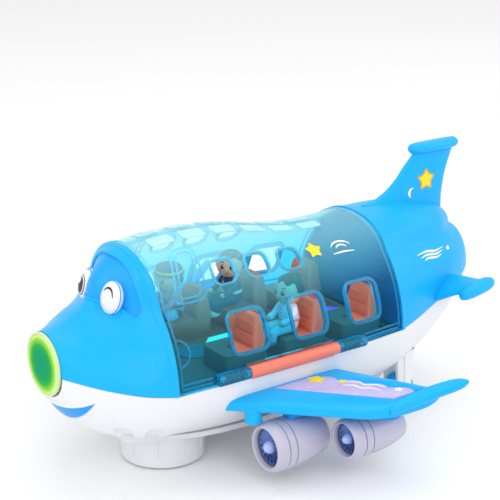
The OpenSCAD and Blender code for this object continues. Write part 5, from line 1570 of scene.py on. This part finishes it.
def make_cabin():
    low, high = Vector((BACK_LOW[0], 0, BACK_LOW[1])), Vector((BACK_HIGH[0], 0, BACK_HIGH[1]))
    up = (high - low).normalized()
    out = Vector((0, 1, 0)).cross(up)
    tall = (high - low).length
    for side, word in SIDES:
        for i, row in enumerate(ROWS):
            foot = Vector((row, side*SEAT_Y, FLOOR_Z)) + low
            parts = []

            def on_back(a, b, h):
                return foot + Vector((0, a, 0)) + up*b + out*h

            for wide, t0, t1 in SEAT_PANELS:
                flat = round_rect(wide, tall*(t1 - t0), 2, 5)
                outline = [(a*(1 - 0.006*b), b + tall*(t0 + t1)/2) for a, b in flat]
                parts.append(bevelled(film("panel", outline, on_back, 0.7, 1.1), 0.3, 2, 60))
            piece(joined(f"seat_panels_{word}_{i + 1}", parts), "coral")
        for k in range(SLATS):
            y, z, half = side*SLAT_Y, SLAT_Z + SLAT_STEP*k, 8 - 0.6*k
            corners = (SLAT_X[0], y - half, z), (SLAT_X[1], y + half, z + 1.7)
            piece(bevelled(block(f"bulkhead_slat_{word}_{k + 1}", *corners), 0.35, 2), "teal")
    grille = []
    for r in SPEAKER_RINGS:
        ridge = [(r - 0.5, 58.4), (r - 0.4, 58.8), (r, 59), (r + 0.4, 58.8), (r + 0.5, 58.4), (r - 0.5, 58.4)]
        grille.append(lathe("ridge", ridge, SPEAKER_AT, (0, 0, 1), 48))
    piece(joined("speaker_rings", grille), "grey")


# Passengers: body, place of the peg, lean, turn of the head, suit, trousers, trim and hat

FIGURES = (
    ("passenger_port", 6, 29, 1, 10, "pale", "pale", "pink", False),
    ("passenger_starboard", 6, -29, 2, 42, "navy", "navy", "pale", False),
    ("passenger_front", 48, -29, 5, 15, "pink", "navy", "navy", True),
)
HEAD_Z, HEAD_R, HAIR_R = 25.5, 8.4, 8.8
UP = (0, 0, 1)

# Limbs of a figure: points beside its middle, sideways ones to be mirrored, and a radius at each

TRUNK = ((0, 5.6, 5.8), (0.2, 8, 6.2), (0.6, 12, 5.9), (0.95, 15.8, 5.2), (1, 17.4, 3.8))
ARM = ((-0.3, 5.6, 16, 1.9), (0.6, 7.1, 14, 2.2), (3, 7.4, 11.2, 2.1), (6, 6.9, 9.3, 1.9),
       (7.6, 6.5, 8.8, 1.9))
CUFF = ((7, 6.6, 9, 2.15), (8, 6.45, 8.75, 2.15))
LEG = ((1, 3.5, 3.8, 3.2), (7, 3.5, 3.7, 3.2), (12.6, 3.5, 3.5, 3.1), (14.6, 3.5, 2.2, 3), (15, 3.5, 0, 2.8),
       (15, 3.5, -1.6, 2.6))
PEG = [(0, -5.4), (1.4, -5.4), (1.7, -5), (1.7, 3), (0, 3)]
BELT = [(6.1, 7.4), (6.45, 7.6), (6.45, 8.8), (6.1, 9), (6.1, 7.4)]
HAT = [(0, 28.6), (8.6, 28.4), (9.4, 28.9), (9.4, 29.3), (8.7, 29.7), (8.35, 30.2), (8.2, 31.6), (7.6, 33.2),
       (6.2, 34.4), (3.6, 35.2), (0, 35.4)]
HAT_BAND = [(8.2, 29.9), (8.55, 30), (8.5, 31.3), (8.1, 31.4), (8.2, 29.9)]
MOUTH = ([(-1.6, -3.2), (0, -3.9), (1.6, -3.2)], [0.25, 0.75, 0.25], 14)


def make_figure(body, x, y, lean, turn, suit, trousers, trim, hat):
    o = Vector((x, y, FLOOR_Z + SEAT_H))

    def put(part, objs, material):
        piece(joined(f"{body}_{part}", objs), material, [body], body)

    def at(*p):
        return o + Vector(p)

    def limb(name, rows, side, shift, segments):
        points = [at(shift + a, side*b, c) for a, b, c, _ in rows]
        return tube(name, points, [row[3] for row in rows], segments)

    trunk = tube("trunk", [at(share*lean, 0, z) for share, z, _ in TRUNK], [row[2] for row in TRUNK], 36)
    arms, hands, legs, shoes = [], [], [], []
    for s in (1, -1):
        arms += [limb("arm", ARM, s, lean, 20), limb("cuff", CUFF, s, lean, 20)]
        hands.append(ball("hand", at(lean + 9.3, s*6.3, 8.4), (2, 1.7, 1.6), 20))
        legs.append(limb("leg", LEG, s, 0, 24))
        shoes.append(ball("shoe", at(15.6, s*3.5, -2.9), (3.6, 2.7, 2.4), 24,
                          lambda p: Vector((p.x, p.y, max(p.z, -0.8)))))
    put("suit", [trunk] + arms, suit)
    put("legs", legs + [lathe("peg", PEG, o, UP, 28)], trousers)
    put("shoes", shoes, trim)
    fasteners = [lathe("belt", BELT, at(0.22*lean, 0, 0), UP, 40)]
    for k in range(3):
        button = at(mix(0.3, 0.85, k/2)*lean + 5.8 - 0.4*k, 0, 10.4 + 2.2*k)
        fasteners.append(ball("button", button, (0.5, 0.75, 0.75), 14))
    put("trim", fasteners, trim)
    neck = tube("neck", [at(lean, 0, 16.8), at(lean, 0, 19)], [2.8, 2.6], 20)
    centre = at(lean, 0, HEAD_Z)
    c, s = turned(turn)
    ahead, left = Vector((c, s, 0)), Vector((-s, c, 0))
    head = ball("head", centre, (HEAD_R - 0.2, HEAD_R - 0.2, HEAD_R - 0.1), 48)
    nose = ball("nose", centre + ahead*(HEAD_R - 0.1) - Vector((0, 0, 0.9)), (0.8, 0.8, 0.7), 14)
    ears = []
    for s in (1, -1):
        ears.append(ball("ear", centre + left*s*(HEAD_R - 0.3) - Vector((0, 0, 0.6)), (0.9, 0.9, 1.4), 14))
    put("skin", hands + [neck, head, nose] + ears, "skin")

    def on_face(a, b, h):
        r = HEAD_R - 0.15 + h
        return centre + left*a + Vector((0, 0, b)) + ahead*sqrt(max(0.1, r*r - a*a - b*b))

    def both(name, outline, rise):
        return [film(name, outline(s), on_face, rise) for s in (1, -1)]

    def brow(s):
        return stroke([(s*1.8, 3.1), (s*3, 3.5), (s*4.2, 3)], [0.3, 0.55, 0.25], 12)

    put("eyes", both("eye", lambda s: ellipse(s*2.9, 0.5, 1.0, 1.5), 0.16), "ink")
    put("glints", both("glint", lambda s: ellipse(s*2.9 + 0.3, 1.1, 0.38, 0.45, 14), 0.26), "eye_white")
    put("cheeks", both("cheek", lambda s: ellipse(s*4.7, -2.2, 1.25, 0.9), 0.12), "blush")
    put("brows", both("brow", brow, 0.16), "ink_brown")
    put("mouth", [film("mouth", stroke(*MOUTH), on_face, 0.16)], "lips")

    def locks(p):
        facing = p.dot(ahead)
        fringe = 0.12*sin(6*atan2(p.y, p.x))
        bare = smooth((facing - 0.12)/0.25)*smooth((0.62 - p.z + fringe)/0.18)
        low = smooth((-0.35 - p.z)/0.3)
        wave = 0.985 + 0.015*sin(9*atan2(p.y, p.x) + 5*p.z)
        return p*(wave - 0.2*bare - 0.25*low)

    crown = at(lean - 1, 0, HEAD_Z + 0.8)
    hair = [ball("hair", crown, (HAIR_R,)*3, 72, locks)]
    if hat:
        foot = at(lean - 1, 0, 0)
        put("hat", [lathe("hat", HAT, foot, UP, 56)], "navy")
        put("hat_band", [lathe("band", HAT_BAND, foot, UP, 56)], "yellow")
    elif y > 0:
        hair.append(ball("bun", crown - ahead*6.2 + Vector((0, 0, 5.6)), (2.7, 2.7, 2.5), 24))
    put("hair", hair, "hair")


# Prints: stars, strokes, arcs and a crescent on the fin, the tail and the doors

FIN_STAR, TAIL_PRINT, DOOR_PRINT = (-121.5, 135), (-103, 41.4), (-20, 61.5)
CRESCENT = ([(-111, 131.2), (-108.4, 130.2), (-107.4, 127.6), (-108.4, 125)], [0.2, 1.5, 1.8, 0.2], 20)
GROUND = ([(-3.5, -4.6), (-11.5, -4.1), (-19.5, -4.6)], [0.4, 1.1, 0.4], 30)


def make_prints(side, word):
    def on_fin(a, b, h):
        return Vector((a, side*(fin_side(a, b) + h), b))

    def on_tail(a, b, h):
        return mirror(skin(TAIL_PRINT[0] + a, TAIL_PRINT[1] + b*1.15, h), side)

    def on_door(a, b, h):
        return mirror(skin(DOOR_PRINT[0] + a, DOOR_PRINT[1] + b*0.9, h), side)

    piece(film("fin_star_rim_" + word, star(*FIN_STAR, 8.2, 90), on_fin, 0.14), "orange")
    piece(film("fin_star_" + word, star(*FIN_STAR, 6.6, 90), on_fin, 0.22), "yellow")
    piece(film("fin_crescent_" + word, stroke(*CRESCENT), on_fin), "print")
    for k in range(3):
        d = 2.4*k
        points = [(15 - 3*k, 2.6 - d), (5, 3.3 - d), (-4, 1.7 - d), (-13 + 2*k, 2.5 - d)]
        piece(film(f"tail_stroke_{word}_{k}", stroke(points, [0.3, 1.3, 1.3, 0.3], 40), on_tail), "print")
    piece(film("tail_star_" + word, star(-17.5, 0.3, 2.4, 90), on_tail), "print")
    door = "door_" + word
    piece(film("door_star_" + word, star(8.4, 0.8, 6.4, 90), on_door), "yellow", body=door)
    for k, r in enumerate((3.6, 6.4)):
        arc = [(-11.5 + r*1.25*cos(t), -2.6 + r*sin(t)) for t in spread(0.15*pi, 0.85*pi, 6)]
        line = stroke(arc, [0.4, 1.2, 1.2, 0.4], 30)
        piece(film(f"door_arc_{word}_{k}", line, on_door), "print", body=door)
    piece(film("door_line_" + word, stroke(*GROUND), on_door), "print", body=door)


# Turret: upright ribs on its wall

TURRET_X, TURRET_R, RIBS, RIB_Z, RIB_START = 76.5, 24.6, 10, 13, 14
TURRET_RIB = (1.5, 12, 0.7, 4)


def make_turret_ribs():
    ribs = []
    for k in range(RIBS):
        c, s = turned(360/RIBS*k + RIB_START)
        out, across = Vector((c, s, 0)), Vector((-s, c, 0))
        at = Vector((TURRET_X, 0, 0)) + out*TURRET_R + Vector((0, 0, RIB_Z))
        plate = prism("rib", round_rect(*TURRET_RIB), at, across, UP, -0.6, 0.7)
        ribs.append(bevelled(plate, 0.3, 2))
    piece(joined("turret_ribs", ribs), "white", body="turret")


# CAD nodes that keep their shape: joined points, smooth faces and softened edges

JOIN_DISTANCE = 2e-6


def finish_group():
    """Modifier tree that joins split points and shades smooth up to an angle."""
    tree = bpy.data.node_groups.new("joined_and_smooth", "GeometryNodeTree")
    for way in ("INPUT", "OUTPUT"):
        tree.interface.new_socket("Geometry", in_out=way, socket_type="NodeSocketGeometry")
    add, link = tree.nodes.new, tree.links.new
    first, last = add("NodeGroupInput"), add("NodeGroupOutput")
    steps = []
    for name in ("custom_normal", "sharp_edge"):
        strip = add("GeometryNodeRemoveAttribute")
        strip.inputs["Name"].default_value = name
        steps.append(strip)
    merge = add("GeometryNodeMergeByDistance")
    merge.inputs["Distance"].default_value = JOIN_DISTANCE
    faces = add("GeometryNodeSetShadeSmooth")
    faces.domain = "FACE"
    edges = add("GeometryNodeSetShadeSmooth")
    edges.domain = "EDGE"
    edges.inputs["Shade Smooth"].default_value = False
    angle = add("GeometryNodeInputMeshEdgeAngle")
    over = add("FunctionNodeCompare")
    over.operation = "GREATER_THAN"
    over.inputs["B"].default_value = SHARP
    link(angle.outputs["Unsigned Angle"], over.inputs["A"])
    link(over.outputs["Result"], edges.inputs["Selection"])
    flow = first.outputs[0]
    for step in steps + [merge, faces, edges]:
        link(flow, step.inputs["Geometry"])
        flow = step.outputs["Geometry"]
    link(flow, last.inputs[0])
    return tree


FINISH = finish_group()


def keep_node(node, material, soften=0.0):
    """A CAD node with a better material, smooth faces and, where asked, softened edges."""
    obj = NODES[node]
    obj.data.materials.clear()
    obj.data.materials.append(MAT[material])
    mod = obj.modifiers.new("join", "NODES")
    mod.node_group = FINISH
    if soften:
        flat = obj.modifiers.new("flat", "DECIMATE")
        flat.decimate_type = "DISSOLVE"
        flat.angle_limit = radians(1.5)
        edge = obj.modifiers.new("edges", "BEVEL")
        edge.width = soften*MM
        edge.segments = 3
        edge.limit_method = "ANGLE"
        edge.angle_limit = radians(38)
        edge.use_clamp_overlap = True
        again = obj.modifiers.new("shade", "NODES")
        again.node_group = FINISH


# Kept nodes by material and softening, a name ending in an underscore standing for both sides

KEPT = (
    ("white", 0, ("base_plate", "turret_housing", "turret_cover", "turret_ring", "drive_gear")),
    ("white", 0, ("battery_cover",)),
    ("white", 0.4, ("hinge_rail_",)),
    ("deep", 0, ("mouth_insert", "wing_cover_")),
    ("lime", 0, ("lamp_cup",)),
    ("lens", 0, ("nose_lamp",)),
    ("teal", 0, ("rear_bulkhead",)),
    ("coral", 0, ("cabin_tray",)),
    ("coral_bar", 0.4, ("hinge_bar_",)),
    ("panel", 0, ("aisle_light",)),
    ("lavender", 0.3, ("wing_light_",)),
    ("steel", 0, ("hinge_pins", "drive_axle", "motor", "rear_axles", "screws")),
    ("brass", 0, ("motor_pinion",)),
    ("rubber", 0, ("drive_wheels", "power_switch")),
    ("cell", 0, ("batteries",)),
    ("board", 0, ("circuit_board",)),
    ("grey", 0, ("speaker",)),
)
SEAT_SOFTEN = 0.5


def keep_nodes():
    for material, soften, names in KEPT:
        for name in names:
            for node in [name + word for _, word in SIDES] if name.endswith("_") else [name]:
                keep_node(node, material, soften)
    for i in (1, 2, 3):
        for _, word in SIDES:
            keep_node(f"seat_{word}_{i}", "coral", SEAT_SOFTEN)


# Stage

LAMPS = (
    ("key", (0.45, 1.35, 1.2), 1.3, 6), ("fill", (1.4, 0.1, 0.9), 1.1, 4),
    ("top", (-0.3, -0.2, 1.9), 1.8, 8), ("rear", (-1.3, 0.9, 0.8), 1.0, 3),
)
ROOM_LIGHT, FLOOR_HALF, LAMP_AIM = 0.8, 12000, (0, 0, 0.06)


def make_stage():
    corners = [(a*FLOOR_HALF, b*FLOOR_HALF, 0) for a, b in ((-1, -1), (1, -1), (1, 1), (-1, 1))]
    floor = solid("floor", corners, [(0, 1, 2, 3)])
    s = Surface("floor_paper")
    s.colour(s.mix(s.noise(3, 2), (0.95, 0.95, 0.95, 1), (0.97, 0.97, 0.97, 1)))
    s.set(Roughness=0.9, Specular_IOR_Level=0.1)
    floor.data.materials.append(s.mat)
    world = bpy.data.worlds.new("studio")
    SCENE.world = world
    world.use_nodes = True
    tree = world.node_tree
    room = tree.nodes["Background"]
    room.inputs["Color"].default_value = (1, 1, 1, 1)
    room.inputs["Strength"].default_value = ROOM_LIGHT
    white = tree.nodes.new("ShaderNodeBackground")
    white.inputs["Strength"].default_value = 1
    white.inputs["Color"].default_value = (1, 1, 1, 1)
    path = tree.nodes.new("ShaderNodeLightPath")
    either = tree.nodes.new("ShaderNodeMath")
    either.operation = "MAXIMUM"
    both = tree.nodes.new("ShaderNodeMath")
    both.operation = "MAXIMUM"
    mixer = tree.nodes.new("ShaderNodeMixShader")
    link = tree.links.new
    link(path.outputs["Is Camera Ray"], either.inputs[0])
    link(path.outputs["Is Transmission Ray"], either.inputs[1])
    link(either.outputs[0], both.inputs[0])
    link(path.outputs["Is Glossy Ray"], both.inputs[1])
    link(both.outputs[0], mixer.inputs["Fac"])
    link(room.outputs[0], mixer.inputs[1])
    link(white.outputs[0], mixer.inputs[2])
    link(mixer.outputs[0], tree.nodes["World Output"].inputs["Surface"])
    for name, at, size, power in LAMPS:
        data = bpy.data.lights.new(name, "AREA")
        data.shape = "DISK"
        data.size = size
        data.energy = power
        lamp = bpy.data.objects.new(name, data)
        lamp.location = at
        lamp.rotation_euler = (Vector(LAMP_AIM) - Vector(at)).to_track_quat("-Z", "Y").to_euler()
        SCENE.collection.objects.link(lamp)
    SCENE.view_settings.view_transform = "Standard"


make_camera()
make_stage()
make_nose()
make_eyes()
make_hull()
make_legs()
make_tail()
make_fin()
make_tailplanes()
for side, word in SIDES:
    make_door(side, word)
make_mouth()
for side, word in SIDES:
    make_wing(side, word)
    for engine in ENGINES:
        make_engine(*engine, side, word)
    make_wheel(side, word)
    make_prints(side, word)
make_cabin()
for figure in FIGURES:
    make_figure(*figure)
make_turret_ribs()
keep_nodes()
